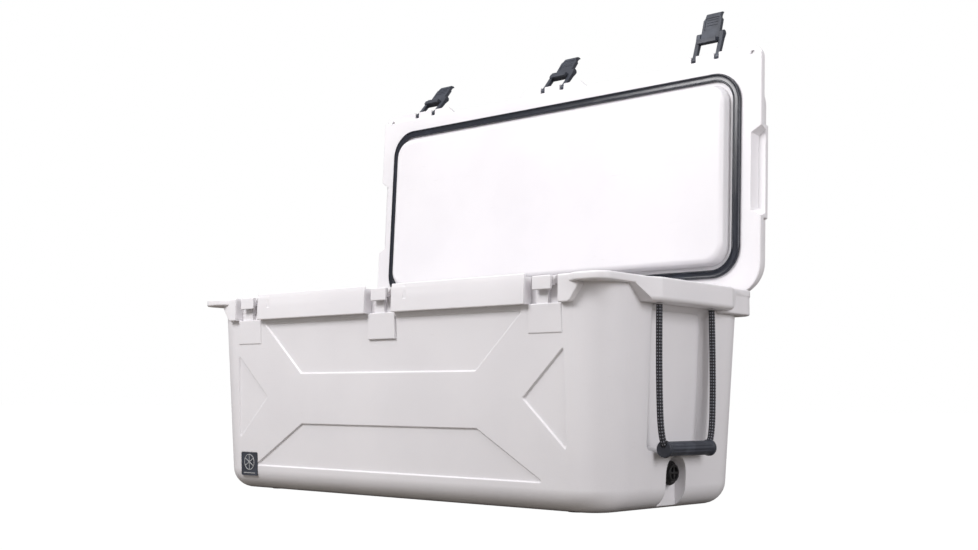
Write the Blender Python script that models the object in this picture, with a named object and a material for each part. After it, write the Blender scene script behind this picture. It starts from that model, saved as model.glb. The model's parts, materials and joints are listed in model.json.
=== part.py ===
"""Cooler chest: an insulated double-wall tub, a hinged lid held by three over-centre latches, two rope
handles and a threaded drain plug.

Metres, +Z up. The origin is the middle of the tub's underside. +X is the end with the drain
and -Y is the front. The lid rests open.
"""

import math

import bmesh
import bpy
from mathutils import Vector

# Tub
TUB_LENGTH = 1.0132  # outside, at the bottom
TUB_WIDTH = 0.4352  # outside, at the bottom
TUB_BASE = 0.0
RIM_HEIGHT = 0.400
WALL_DRAFT = math.radians(2.84)
CORNER_RADIUS = 0.072
BASE_RADIUS = 0.040
END_WALL = 0.053
SIDE_WALL = 0.0454
FLOOR_THICKNESS = 0.045
INSIDE_RADIUS = 0.030
SKIN = 0.0045
FIT = 0.0003  # gap between pieces that touch
BITE = 0.001  # how far a form runs into the one it is joined to
INSIDE_CORNER_TRIM = 0.027  # how much tighter the corners are inside than outside
SEAT_CORNER_TRIM = 0.020
NECK_CORNER_TRIM = 0.015
NECK_OUT = 0.0165  # the foam round the mouth, out from the inside edge
NECK_DROP = 0.003  # and how far it stays under the gasket's seat
SHOULDER_DROP = 0.011  # from the bands down to the foam's shoulder
SHOULDER_OVERLAP = 0.008

# Rim
RIM_OUT_X = 0.0137  # how far the rim stands out of the end wall
RIM_OUT_Y = 0.0082  # how far it stands out of the side walls
RIM_THICKNESS = 0.014
RIM_RADIUS = 0.045
BAND_DEPTH = 0.048
BAND_END = 0.080  # from the rim's end to the front band's end
BAND_SLANT = 0.028
BAND_THICKNESS = 0.030
BAND_TOP_DROP = 0.010
BACK_BAND_DROP = 0.006
APRON_LIP = 0.0055
APRON_LIP_THICKNESS = 0.005
CORNER_EAR_OUT = 0.012
CORNER_EAR_LENGTH = 0.062
EAR_RADIUS = 0.028
PADLOCK_RADIUS = 0.005
PADLOCK_INSET_X = 0.024
PADLOCK_INSET_Y = 0.016

# Relief on the side walls and recesses in the ends
PANEL_DEPTH = 0.003
PANEL_EDGE_X = 0.355
PANEL_KNEE_X = 0.238
PANEL_SIDE_X = 0.4408
PANEL_APEX_X = 0.3436
PANEL_TOP_Z = 0.345
PANEL_KNEE_HIGH_Z = 0.238
PANEL_KNEE_LOW_Z = 0.1387
PANEL_FOOT_X = 0.392
PANEL_FOOT_Z = 0.048
PANEL_SIDE_HIGH_Z = 0.282
PANEL_SIDE_LOW_Z = 0.101
END_POCKET_HALF = 0.095
END_POCKET_DEPTH = 0.017
END_POCKET_LOW_Z = 0.100

# Handle brackets, ropes and grips
BRACKET_OUT = 0.020
BRACKET_HALF = 0.114
BRACKET_SPLAY = 0.058
BRACKET_FOOT_SPLAY = 0.012  # the same at its underside, so that its sides slant
BRACKET_THICKNESS = 0.0415
BRACKET_DROP = 0.0015  # below the rim
BRACKET_ROOT = 0.045  # how far it runs under the rim
BRACKET_FOOT = 0.005  # from the rim's end to where its splayed sides start
BRACKET_BEVEL = 0.006
ROPE_RADIUS = 0.00575
ROPE_HALF_SPACING = 0.085
ROPE_INSET = 0.027  # from the bracket's face to a rope hole
ROPE_HOLE_CLEARANCE = 0.0011
ROPE_DROP = 0.250  # from the bracket to the middle of the grip
KNOT_RADIUS = 0.0105
KNOT_HEIGHT = 0.012
KNOT_CLEARANCE = 0.0008
KNOT_FLOOR = 0.0004  # more room under the knot
KNOT_EDGE = 0.004
GRIP_HALF_LENGTH = 0.075
GRIP_RADIUS = 0.0128
GRIP_FLARE = 0.0022
GRIP_FLARE_LENGTH = 0.012
GRIP_EDGE = 0.0015
GRIP_CLEARANCE = 0.0012  # round the rope
HANDLE_AXIS_DROP = 0.008

# Gasket
GASKET_WIDTH = 0.017
GASKET_PROUD = 0.007
GASKET_ROOT = 0.0027
GASKET_ROOT_TRIM = 0.0035  # how much narrower its root is, on each side
GASKET_EDGE = 0.0025
GASKET_LOBE_GAP = 0.002
GASKET_LOBE_RISE = 0.0015
GASKET_OVERHANG = 0.0005  # from the tub's inside edge to the gasket's inner edge
SEAT_DEPTH = 0.0075
SEAT_MARGIN = 0.004  # wider than the gasket

# Lid
LID_FLANGE = 0.014
LID_HEIGHT = 0.057
LID_INSET_X = 0.005  # from the rim's end to the lid's end
LID_EDGE_SETBACK = 0.006  # behind the front of the rim, between the latches
CROWN_INSET = 0.009
CROWN_DRAFT = 0.009
CROWN_FRONT = 0.030
CROWN_RADIUS = 0.060
CROWN_EDGE = 0.010
PLUG_CLEARANCE = 0.006  # between the lid's plug and the inside of the tub
PLUG_DEPTH = 0.025
PLUG_DRAFT = 0.006
PLUG_EDGE = 0.004
CROWN_FOOT = 0.004  # how far the crown and the plug run into the flange
LID_FOAM_MARGIN = 0.001
LID_FOAM_LAP = 0.004
LID_NOTCH_HALF = 0.0775
LID_NOTCH_DEPTH = 0.022
LID_NOTCH_SPLAY = 0.013
LID_NOTCH_HEIGHT = 0.019
LIFT_LIP = 0.016  # thickness of the lip over each notch
LIFT_LIP_SIDE = 0.004
LIFT_LIP_ROOT = 0.012
LIFT_LIP_DROP = 0.006

# Hinge
HINGE_X = 0.330
HINGE_BELOW_RIM = 0.008
HINGE_OUT = 0.0044  # behind the rim
KNUCKLE_RADIUS = 0.0082
KNUCKLE_HALF = 0.030
KNUCKLE_HEIGHT = 0.030
HINGE_EAR_WIDTH = 0.014
HINGE_EAR_TRIM = 0.0004
HINGE_EAR_ROOT = 0.020
HINGE_EAR_DROP = 0.012
HINGE_SIDE_GAP = 0.001  # between a knuckle and an ear
HINGE_NOTCH_GAP = 0.0012
HINGE_NOTCH_DROP = 0.0095
ROD_RADIUS = 0.004
ROD_HOLD = 0.75  # the share of an ear's width that the rod's bore goes into
ROD_END_GAP = 0.001
BUSH_WALL = 0.0012
LEDGE_REACH = 0.024
LEDGE_ROOT = 0.012
LEDGE_GAP = 0.0006
LEDGE_TIP = 0.010  # thickness at the tip
LEDGE_HEEL = 0.026  # and at the wall
OPEN_ANGLE = math.radians(92.4)

# Latches
LATCH_SPACING = 0.400
GAP_HALF = 0.0367
GAP_DEPTH = 0.0196
KEEPER_HALF = 0.0205
KEEPER_DROP = 0.0245  # from the rim to the underside of the catch's lip
KEEPER_LIP = 0.005
KEEPER_GROOVE = 0.007  # height of the groove behind the lip
KEEPER_GROOVE_BACK = 0.0125
KEEPER_STEP = 0.011
KEEPER_ROOT = 0.004
PAD_RAISE = 0.0012
PAD_HEIGHT = 0.050
BLOCK_HALF = 0.0765
BLOCK_SPLAY = 0.022
BLOCK_THICKNESS = 0.012
BLOCK_LIFT = 0.0008  # over the apron's lip
ARM_CENTRE = 0.0273
ARM_THICKNESS = 0.0095
ARM_SLOT_CLEARANCE = 0.0012
ARM_LENGTH = 0.058
ARM_EYE_RADIUS = 0.0052
ARM_END_RADIUS = 0.0066
PIN_INSET = 0.0075
PIN_RADIUS = 0.0025
PIN_BORE_END = 0.012  # past the outer face of an arm
PIN_END_GAP = 0.001
LEVER_PIN_SHORT = 0.0005  # inside the outer face of an arm
LEVER_CLEARANCE = 0.0008
LEVER_LONG = 0.054
LEVER_SHORT = 0.0195
LEVER_THICKNESS = 0.009
HOOK_IN = 0.0105  # from the lever's middle plane to the hook's inner face
HOOK_OUT = 0.0155
HOOK_NIB = 0.005  # how far the hook turns under the keeper's lip
LEVER_EDGE = 0.004
CURL = 0.003  # how far the tip curls out
TIP_LENGTH = 0.018  # of the narrowed tip
TIP_INSET = 0.004
LATCH_LEANS = {"left": 40.5, "middle": 38.5, "right": 18.5}
LEVER_LEAN = 4.0

# Drain
DRAIN_Z = 0.063
DRAIN_RECESS_HALF = 0.034
DRAIN_RECESS_DEPTH = 0.0236
DRAIN_TUBE_RADIUS = 0.011
DRAIN_BORE_RADIUS = 0.007
DRAIN_FLANGE_RADIUS = 0.019
DRAIN_FLANGE = 0.003
DRAIN_NECK = 0.009
DRAIN_CAP_RADIUS = 0.022
DRAIN_CAP_LENGTH = 0.015
SUMP_HALF = 0.026
SUMP_DROP = 0.002
SUMP_HEIGHT = 0.042
SUMP_LENGTH = 0.045
SUMP_OUT = 0.003  # past the inside of the end wall
SEAL_THICKNESS = 0.0016
SEAL_TRIM = 0.001
SEAL_CLEARANCE = 0.0008
DRAIN_TUBE_END = 0.002  # past the nut
CAP_TAPER = 0.004
CAP_FACE_TAPER = 0.006
CAP_SHOULDER = (0.45, 0.55)  # shares of the cap's length
CAP_FLUTES = 6
CAP_FLUTE_RADIUS = 0.0035
CAP_FLUTE_OUT = 0.001
CAP_FLUTE_START = 0.002
CAP_SOCKET_END = 0.0006

# Feet, filling plugs and badge
FOOT_RADIUS = 0.018
FOOT_HEIGHT = 0.006
FOOT_PROUD = 0.003  # below the tub
FOOT_X = 0.400
FOOT_Y = 0.140
FOOT_EDGE = 0.001
FILL_RADIUS = 0.012
FILL_X = 0.250
LID_FILL_X = 0.200
FILL_INSET = 0.0004
LID_FILL_INSET = 0.0009
FILL_BORE = 0.006  # past the skin
BADGE_X = -0.407
BADGE_Z = 0.051
BADGE_WIDTH = 0.053
BADGE_HEIGHT = 0.048
BADGE_THICKNESS = 0.0014
BADGE_RECESS = 0.0008
BADGE_CLEARANCE = 0.0006

# Worked out from the sizes above
SLOPE = math.tan(WALL_DRAFT)
ENDS = {"left": -1, "right": 1}
LATCHES = {"left": -LATCH_SPACING, "middle": 0.0, "right": LATCH_SPACING}
FAR = 0.1  # how far a cutter runs past what it cuts
PAST = 0.02  # the same where something else is near


def half_length(z):
    """Half the tub's outside length at a height."""
    return TUB_LENGTH / 2 + (z - TUB_BASE) * SLOPE


def half_width(z):
    """Half the tub's outside width at a height."""
    return TUB_WIDTH / 2 + (z - TUB_BASE) * SLOPE


RIM_X = half_length(RIM_HEIGHT) + RIM_OUT_X
RIM_Y = half_width(RIM_HEIGHT) + RIM_OUT_Y
INSIDE_X = half_length(RIM_HEIGHT) - END_WALL
INSIDE_Y = half_width(RIM_HEIGHT) - SIDE_WALL
BAND_Z = RIM_HEIGHT - BAND_DEPTH
BRACKET_X = RIM_X + BRACKET_OUT
BRACKET_TOP = RIM_HEIGHT - BRACKET_DROP
BRACKET_Z = BRACKET_TOP - BRACKET_THICKNESS
KNOT_TOP = BRACKET_TOP - KNOT_CLEARANCE
ROPE_X = BRACKET_X - ROPE_INSET
HANDLE_Z = BRACKET_Z - HANDLE_AXIS_DROP
GRIP_Z = BRACKET_Z - ROPE_DROP
HINGE_Y = RIM_Y + HINGE_OUT
HINGE_Z = RIM_HEIGHT - HINGE_BELOW_RIM
LID_Z = RIM_HEIGHT + FIT
LID_X = RIM_X - LID_INSET_X
LID_TOP = LID_Z + LID_HEIGHT
LID_FRONT = -RIM_Y - CORNER_EAR_OUT
LID_EDGE = -RIM_Y + LID_EDGE_SETBACK
BLOCK_Z = RIM_HEIGHT + APRON_LIP + BLOCK_LIFT
PIN_Y = LID_FRONT + PIN_INSET
PIN_Z = BLOCK_Z + BLOCK_THICKNESS / 2
PADLOCK_X = LID_X - PADLOCK_INSET_X
PADLOCK_Y = LID_FRONT + PADLOCK_INSET_Y
GASKET_OUT = GASKET_OVERHANG + GASKET_WIDTH
GASKET_MIDDLE = GASKET_OVERHANG + GASKET_WIDTH / 2
GASKET_ROOT_HALF = GASKET_WIDTH / 2 - GASKET_ROOT_TRIM
INSIDE_CORNER = CORNER_RADIUS - INSIDE_CORNER_TRIM
ROD_BORE_HALF = KNUCKLE_HALF + HINGE_SIDE_GAP + HINGE_EAR_WIDTH * ROD_HOLD
BUSH_RADIUS = ROD_RADIUS + FIT + BUSH_WALL
RECESS_X = half_length(DRAIN_Z) - DRAIN_RECESS_DEPTH
SUMP_X = INSIDE_X - (RIM_HEIGHT - DRAIN_Z) * SLOPE + SUMP_OUT
FLOOR_Z = TUB_BASE + FLOOR_THICKNESS


def clear_scene():
    for obj in list(bpy.data.objects):
        bpy.data.objects.remove(obj, do_unlink=True)


def material(name, colour, roughness, metallic=0.0):
    made = bpy.data.materials.new(name)
    made.use_nodes = True
    shader = made.node_tree.nodes["Principled BSDF"]
    shader.inputs["Base Color"].default_value = (*colour, 1.0)
    shader.inputs["Roughness"].default_value = roughness
    shader.inputs["Metallic"].default_value = metallic
    return made


def add_mesh(name, bm, finish=None, parent=None, origin=(0, 0, 0)):
    """Closes a bmesh into a named object, its points given relative to the origin."""
    bmesh.ops.recalc_face_normals(bm, faces=bm.faces)
    mesh = bpy.data.meshes.new(name)
    bm.to_mesh(mesh)
    bm.free()
    obj = bpy.data.objects.new(name, mesh)
    bpy.context.scene.collection.objects.link(obj)
    obj.location = origin
    obj.parent = parent
    if finish:
        mesh.materials.append(finish)
    else:
        obj.hide_render = True
        obj.display_type = "WIRE"
    return obj


def loft(name, rings, **placing):
    """A closed body through rings of the same number of points."""
    bm = bmesh.new()
    made = [[bm.verts.new(point) for point in ring] for ring in rings]
    for low, high in zip(made, made[1:]):
        for i, corner in enumerate(low):
            j = (i + 1) % len(low)
            bm.faces.new((corner, low[j], high[j], high[i]))
    bm.faces.new(made[0][::-1])
    bm.faces.new(made[-1])
    return add_mesh(name, bm, **placing)


def prism(name, outline, low, high, axis="Z", **placing):
    """A closed prism. The outline is in the two other axes, in their order."""
    place = {
        "X": lambda a, b, c: (c, a, b),
        "Y": lambda a, b, c: (a, c, b),
        "Z": lambda a, b, c: (a, b, c),
    }[axis]
    return loft(name, [[place(a, b, c) for a, b in outline] for c in (low, high)], **placing)


def box(name, low, high, **placing):
    outline = [(low[0], low[1]), (high[0], low[1]), (high[0], high[1]), (low[0], high[1])]
    return prism(name, outline, low[2], high[2], **placing)


def circle(centre, radius, sides=16, start=0.0, sweep=math.tau):
    """Points of an arc. A full circle leaves out its repeated last point."""
    count = sides if sweep == math.tau else sides + 1
    return [
        (centre[0] + radius * math.cos(start + sweep * i / sides),
         centre[1] + radius * math.sin(start + sweep * i / sides))
        for i in range(count)
    ]


def turned(name, profile, axis="Z", sides=16, **placing):
    """A closed body turned about an axis through its origin. The profile is (radius, place) pairs."""
    place = {
        "X": lambda a, b, c: (c, a, b),
        "Y": lambda a, b, c: (a, c, b),
        "Z": lambda a, b, c: (a, b, c),
    }[axis]
    rings = [[place(a, b, at) for a, b in circle((0, 0), radius, sides)] for radius, at in profile]
    return loft(name, rings, **placing)


def rounded(half_x, half_y, radius, z, centre_y=0.0, steps=5):
    """A ring of a rounded rectangle."""
    radius = min(radius, half_x * 0.95, half_y * 0.95)
    ring = []
    for quarter, (sx, sy) in enumerate(((1, 1), (-1, 1), (-1, -1), (1, -1))):
        centre = (sx * (half_x - radius), centre_y + sy * (half_y - radius))
        start = quarter * math.pi / 2
        ring += [(x, y, z) for x, y in circle(centre, radius, steps, start, math.pi / 2)]
    return ring


def combine(target, other, operation):
    modifier = target.modifiers.new(operation.title(), "BOOLEAN")
    modifier.operation = operation
    modifier.object = other
    modifier.solver = "EXACT"


def cut(target, *others):
    for other in others:
        combine(target, other, "DIFFERENCE")


def join(target, *others):
    for other in others:
        combine(target, other, "UNION")


def empty(name, place, parent=None, turn_x=0.0):
    made = bpy.data.objects.new(name, None)
    bpy.context.scene.collection.objects.link(made)
    made.location = place
    made.rotation_euler = (turn_x, 0, 0)
    made.parent = parent
    return made


# ---------------------------------------------------------------- tub


def tub_body(name, inset, low, high, steps=4, **placing):
    """The tub's outer form up to a height, drawn in by an inset."""
    rings = []
    edge = BASE_RADIUS - inset
    for i in range(steps + 1):
        turn = math.pi / 2 * i / steps
        z = low + edge * (1 - math.cos(turn))
        draw = inset + edge * (1 - math.sin(turn))
        rings.append(rounded(half_length(z) - draw, half_width(z) - draw, CORNER_RADIUS - draw * 0.6, z))
    rings.append(rounded(half_length(high) - inset, half_width(high) - inset, CORNER_RADIUS - inset, high))
    return loft(name, rings, **placing)


def tub_inside(name, outset, high, steps=3, **placing):
    """The inside of the tub, let out by an outset."""
    rings = []
    low = FLOOR_Z - outset
    edge = INSIDE_RADIUS + outset
    for i in range(steps + 1):
        turn = math.pi / 2 * i / steps
        z = low + edge * (1 - math.cos(turn))
        draw = edge * (1 - math.sin(turn)) - outset
        lean = (RIM_HEIGHT - z) * SLOPE
        radius = INSIDE_CORNER - draw * 0.5
        rings.append(rounded(INSIDE_X - lean - draw, INSIDE_Y - lean - draw, radius, z))
    lean = (RIM_HEIGHT - high) * SLOPE
    radius = INSIDE_CORNER + outset
    rings.append(rounded(INSIDE_X - lean + outset, INSIDE_Y - lean + outset, radius, high))
    return loft(name, rings, **placing)


def on_wall(name, outline, front, inner, outer, **placing):
    """A slab that follows a side wall's slope, between two distances out from it."""
    side = -1 if front else 1
    rings = [[(x, side * (half_width(z) + out), z) for x, z in outline] for out in (inner, outer)]
    return loft(name, rings, **placing)


def on_end(name, outline, sign, inner, outer, **placing):
    """The same on an end wall, from an outline of (y, z) points."""
    rings = [[(sign * (half_length(z) + out), y, z) for y, z in outline] for out in (inner, outer)]
    return loft(name, rings, **placing)


def rectangle(low_a, low_b, high_a, high_b):
    return [(low_a, low_b), (high_a, low_b), (high_a, high_b), (low_a, high_b)]


def panel_outlines():
    """The four sunk panels, which leave a raised cross between them."""
    upper = [(-PANEL_EDGE_X, PANEL_TOP_Z), (PANEL_EDGE_X, PANEL_TOP_Z),
             (PANEL_KNEE_X, PANEL_KNEE_HIGH_Z), (-PANEL_KNEE_X, PANEL_KNEE_HIGH_Z)]
    lower = [(-PANEL_KNEE_X, PANEL_KNEE_LOW_Z), (PANEL_KNEE_X, PANEL_KNEE_LOW_Z),
             (PANEL_FOOT_X, PANEL_FOOT_Z), (-PANEL_FOOT_X, PANEL_FOOT_Z)]
    apex_z = (PANEL_SIDE_HIGH_Z + PANEL_SIDE_LOW_Z) / 2
    side = [(PANEL_APEX_X, apex_z), (PANEL_SIDE_X, PANEL_SIDE_LOW_Z), (PANEL_SIDE_X, PANEL_SIDE_HIGH_Z)]
    return {"upper": upper, "lower": lower, "side_a": side, "side_b": [(-x, z) for x, z in side]}


def mirrored(points):
    """An outline closed by its own mirror image across X."""
    return points + [(-x, y) for x, y in reversed(points)]


def rim_plate():
    """The flat rim, with an ear for a padlock at each front corner."""
    ear_start = RIM_X - CORNER_EAR_LENGTH
    front = -RIM_Y - CORNER_EAR_OUT
    points = [(ear_start - CORNER_EAR_OUT * 1.5, -RIM_Y), (ear_start, front)]
    points += circle((RIM_X - EAR_RADIUS, front + EAR_RADIUS), EAR_RADIUS, 6, -math.pi / 2, math.pi / 2)
    points += circle((RIM_X - RIM_RADIUS, RIM_Y - RIM_RADIUS), RIM_RADIUS, 6, 0, math.pi / 2)
    return prism("rim_form", mirrored(points), RIM_HEIGHT - RIM_THICKNESS, RIM_HEIGHT)


def bands():
    """The deeper parts of the rim: the front band, and the back band with its corners."""
    end = RIM_X - BAND_END
    top = RIM_HEIGHT - BAND_TOP_DROP
    front = [(-end, BAND_Z), (end, BAND_Z), (end + BAND_SLANT, top), (-end - BAND_SLANT, top)]
    yield prism("front_band_form", front, -RIM_Y, -RIM_Y + BAND_THICKNESS, axis="Y")
    corner = (RIM_X - BITE - RIM_RADIUS, RIM_Y - BITE - RIM_RADIUS)
    points = [(RIM_X - BITE, BRACKET_HALF)] + circle(corner, RIM_RADIUS, 6, 0, math.pi / 2)
    yield prism("back_band_form", mirrored(points), BAND_Z, RIM_HEIGHT - BACK_BAND_DROP)


def aprons():
    """The lips between the latches, which stand in front of the lid's edge."""
    for sign in (-1, 1):
        near, far = sorted((sign * GAP_HALF, sign * (LATCH_SPACING - GAP_HALF)))
        yield box(f"apron_form_{sign}", (near, -RIM_Y - BITE * 0.6, BAND_Z - BITE * 0.4),
                  (far, -RIM_Y + APRON_LIP_THICKNESS, RIM_HEIGHT + APRON_LIP))


def brackets():
    root, foot = RIM_X - BRACKET_ROOT, RIM_X - BRACKET_FOOT
    for side, sign in ENDS.items():
        rings = []
        for splay, z in ((BRACKET_FOOT_SPLAY, BRACKET_Z), (BRACKET_SPLAY, BRACKET_TOP)):
            wide = BRACKET_HALF + splay
            points = [(root, -wide), (foot, -wide), (BRACKET_X, -BRACKET_HALF), (BRACKET_X, BRACKET_HALF),
                      (foot, wide), (root, wide)]
            rings.append([(sign * x, y, z) for x, y in points])
        made = loft(f"bracket_form_{side}", rings)
        bevel = made.modifiers.new("Bevel", "BEVEL")
        bevel.width = BRACKET_BEVEL
        bevel.segments = 2
        yield made


def gap_cutters():
    for side, x in LATCHES.items():
        yield box(f"gap_cutter_{side}", (x - GAP_HALF, -RIM_Y - FAR, BAND_Z),
                  (x + GAP_HALF, -RIM_Y + GAP_DEPTH, RIM_HEIGHT + FAR))


def keepers():
    """The catch in each gap: a lip with a groove behind it, which the lever's hook pulls on."""
    front = -RIM_Y + BITE
    lip = RIM_HEIGHT - KEEPER_DROP
    top = RIM_HEIGHT - BITE * 0.4
    root = -RIM_Y + GAP_DEPTH + KEEPER_ROOT
    groove, step = lip + KEEPER_GROOVE, lip + KEEPER_STEP
    inner, back = front + KEEPER_LIP, front + KEEPER_GROOVE_BACK
    outline = [(front, top), (front, lip), (inner, lip), (inner, groove), (back, groove), (back, step),
               (root, step), (root, top)]
    for side, x in LATCHES.items():
        yield prism(f"keeper_form_{side}", outline, x - KEEPER_HALF, x + KEEPER_HALF, axis="X")


def pads():
    for side, x in LATCHES.items():
        outline = rectangle(x - GAP_HALF, BAND_Z - PAD_HEIGHT, x + GAP_HALF, BAND_Z + BITE * 0.6)
        yield on_wall(f"pad_form_{side}", outline, True, -BITE - PANEL_DEPTH, PAD_RAISE)


def panel_cutters():
    for front in (True, False):
        for name, outline in panel_outlines().items():
            yield on_wall(f"panel_{name}_{front}", outline, front, -PANEL_DEPTH, FAR)


def pocket_cutters(margin):
    """The recess in each end wall, behind the hanging handle."""
    for side, sign in ENDS.items():
        outline = rectangle(-END_POCKET_HALF - margin, END_POCKET_LOW_Z - margin,
                            END_POCKET_HALF + margin, BRACKET_Z - FIT)
        yield on_end(f"pocket_{side}_{margin}", outline, sign, -END_POCKET_DEPTH - margin, FAR)


def drain_cutter(margin):
    """The arch-topped channel below the drain."""
    half = DRAIN_RECESS_HALF + margin
    outline = [(half, -FAR)] + circle((0, DRAIN_Z), half, 10, 0, math.pi) + [(-half, -FAR)]
    return prism(f"drain_channel_{margin}", outline, RECESS_X - margin, RECESS_X + FAR, axis="X")


def sump_cutter(margin):
    return box(f"sump_{margin}", (SUMP_X - SUMP_LENGTH, -SUMP_HALF - margin, FLOOR_Z - SUMP_DROP - margin),
               (SUMP_X + margin, SUMP_HALF + margin, FLOOR_Z + SUMP_HEIGHT + margin))


def drain_bore(radius):
    return turned(f"drain_bore_{radius:.4f}", [(radius, -FAR), (radius, FAR)], axis="X",
                  origin=((SUMP_X + RECESS_X) / 2, 0, DRAIN_Z))


def tub_foam_form(name, gap, **placing):
    """The space between the tub's two skins, drawn in by a gap."""
    skin = SKIN + gap
    low = TUB_BASE + skin
    shoulder = BAND_Z - SHOULDER_DROP
    form = tub_body(name, skin, low, shoulder, **placing)
    out = NECK_OUT - gap
    top = RIM_HEIGHT - SEAT_DEPTH - SKIN - NECK_DROP - gap
    neck = [rounded(INSIDE_X + out, INSIDE_Y + out, CORNER_RADIUS - NECK_CORNER_TRIM, z)
            for z in (shoulder - SHOULDER_OVERLAP, top)]
    join(form, loft(name + "_neck", neck))
    cut(form, tub_inside(name + "_core", skin, RIM_HEIGHT), *pocket_cutters(skin), drain_cutter(skin),
        sump_cutter(skin), drain_bore(DRAIN_TUBE_RADIUS + skin))
    return form


def hinge_notches():
    for side, sign in ENDS.items():
        x = sign * HINGE_X
        half = KNUCKLE_HALF + HINGE_SIDE_GAP
        near = HINGE_Y - KNUCKLE_RADIUS - HINGE_NOTCH_GAP
        yield box(f"hinge_notch_{side}", (x - half, near, HINGE_Z - HINGE_NOTCH_DROP),
                  (x + half, HINGE_Y + FAR, RIM_HEIGHT + FAR))


def hinge_supports():
    """Two ears for each rod, and the ledge that the open lid rests on."""
    radius = KNUCKLE_RADIUS - HINGE_EAR_TRIM
    ear = [(-HINGE_EAR_ROOT, radius)] + circle((0, 0), radius, 8, math.pi / 2, -math.pi)
    ear += [(-HINGE_EAR_ROOT, -radius - HINGE_EAR_DROP)]
    ear = [(y + HINGE_Y, z + HINGE_Z) for y, z in ear]
    top = HINGE_Z - KNUCKLE_RADIUS - LEDGE_GAP
    lean = math.tan(OPEN_ANGLE - math.pi / 2)
    near, tip = HINGE_Y - LEDGE_ROOT, HINGE_Y + LEDGE_REACH
    ledge = [(near, top + LEDGE_ROOT * lean), (tip, top - LEDGE_REACH * lean), (tip, top - LEDGE_TIP),
             (near, top - LEDGE_HEEL)]
    for side, sign in ENDS.items():
        for hand in (-1, 1):
            start = sign * HINGE_X + hand * (KNUCKLE_HALF + HINGE_SIDE_GAP)
            low, high = sorted((start, start + hand * HINGE_EAR_WIDTH))
            yield prism(f"hinge_ear_{side}_{hand}", ear, low, high, axis="X")
        half = KNUCKLE_HALF - BITE
        yield prism(f"hinge_ledge_{side}", ledge, sign * HINGE_X - half, sign * HINGE_X + half, axis="X")


def rod_bores():
    for side, sign in ENDS.items():
        profile = [(ROD_RADIUS + FIT, -ROD_BORE_HALF), (ROD_RADIUS + FIT, ROD_BORE_HALF)]
        yield turned(f"tub_rod_bore_{side}", profile, axis="X", origin=(sign * HINGE_X, HINGE_Y, HINGE_Z))


def rope_holes():
    hole = ROPE_RADIUS + ROPE_HOLE_CLEARANCE
    counter = KNOT_RADIUS + KNOT_CLEARANCE
    floor = KNOT_TOP - KNOT_HEIGHT - KNOT_FLOOR
    profile = [(hole, BRACKET_Z - PAST), (hole, floor), (counter, floor), (counter, RIM_HEIGHT + PAST)]
    for side, sign in ENDS.items():
        for hand in (-1, 1):
            yield turned(f"rope_hole_{side}_{hand}", profile,
                         origin=(sign * ROPE_X, hand * ROPE_HALF_SPACING, 0))


def padlock_holes(low, high, parent=None, offset=(0, 0, 0)):
    for side, sign in ENDS.items():
        place = Vector((sign * PADLOCK_X, PADLOCK_Y, 0)) - Vector(offset)
        yield turned(f"padlock_hole_{side}_{low}", [(PADLOCK_RADIUS, low), (PADLOCK_RADIUS, high)],
                     origin=place, parent=parent)


def gasket_seat():
    """The lowered ledge round the tub's mouth, which the gasket presses on."""
    out = GASKET_OUT + SEAT_MARGIN
    rings = [rounded(INSIDE_X + out, INSIDE_Y + out, CORNER_RADIUS - SEAT_CORNER_TRIM, z)
             for z in (RIM_HEIGHT - SEAT_DEPTH, RIM_HEIGHT + PAST)]
    return loft("gasket_seat_cutter", rings)


def foot_places():
    for side, x in (("left", -FOOT_X), ("right", FOOT_X)):
        for depth, y in (("front", -FOOT_Y), ("rear", FOOT_Y)):
            yield f"foot_{depth}_{side}", (x, y, 0)


def badge_outline(margin):
    half = BADGE_WIDTH / 2 + margin
    tall = BADGE_HEIGHT / 2 + margin
    return rectangle(BADGE_X - half, BADGE_Z - tall, BADGE_X + half, BADGE_Z + tall)


def build_tub(finishes):
    tub = tub_body("tub_shell", 0.0, TUB_BASE, RIM_HEIGHT - BITE * 2, finish=finishes["shell"])
    join(tub, rim_plate(), *bands(), *aprons())
    cut(tub, *gap_cutters())
    join(tub, *keepers())
    cut(tub, *panel_cutters())
    join(tub, *pads())
    cut(tub, *pocket_cutters(0.0), drain_cutter(0.0))
    join(tub, *brackets())
    cut(tub, *hinge_notches())
    join(tub, *hinge_supports())
    cut(tub, tub_inside("tub_core", 0.0, RIM_HEIGHT + PAST), sump_cutter(0.0), gasket_seat(),
        tub_foam_form("tub_foam_space", 0.0), drain_bore(DRAIN_TUBE_RADIUS + FIT),
        *rope_holes(), *padlock_holes(RIM_HEIGHT - FAR / 2, RIM_HEIGHT + FAR / 2), *rod_bores())
    for name, place in foot_places():
        deep = FOOT_HEIGHT - FOOT_PROUD
        seat = [(FOOT_RADIUS + FIT, -PAST), (FOOT_RADIUS + FIT, deep + FIT)]
        cut(tub, turned(name + "_seat", seat, origin=place))
        turned(name, [(FOOT_RADIUS - FOOT_EDGE, -FOOT_PROUD), (FOOT_RADIUS, FOOT_EDGE - FOOT_PROUD),
                      (FOOT_RADIUS, deep)], origin=place, finish=finishes["rubber"])
    tub_foam_form("tub_foam", FIT, finish=finishes["foam"])
    for side, sign in ENDS.items():
        place = (sign * FILL_X, 0, TUB_BASE)
        port = FILL_RADIUS + FIT
        cut(tub, turned(f"tub_port_{side}", [(port, -PAST), (port, SKIN + BITE * 2)], origin=place))
        turned(f"tub_fill_plug_{side}", [(FILL_RADIUS, FILL_INSET), (FILL_RADIUS, SKIN - FIT)], origin=place,
               finish=finishes["shell"])
    cut(tub, on_wall("badge_recess", badge_outline(BADGE_CLEARANCE), True, -BADGE_RECESS, PAST))
    on_wall("badge_plate", badge_outline(0.0), True, -BADGE_RECESS + FIT,
            -BADGE_RECESS + FIT + BADGE_THICKNESS, finish=finishes["slate"])


# ---------------------------------------------------------------- lid


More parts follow.
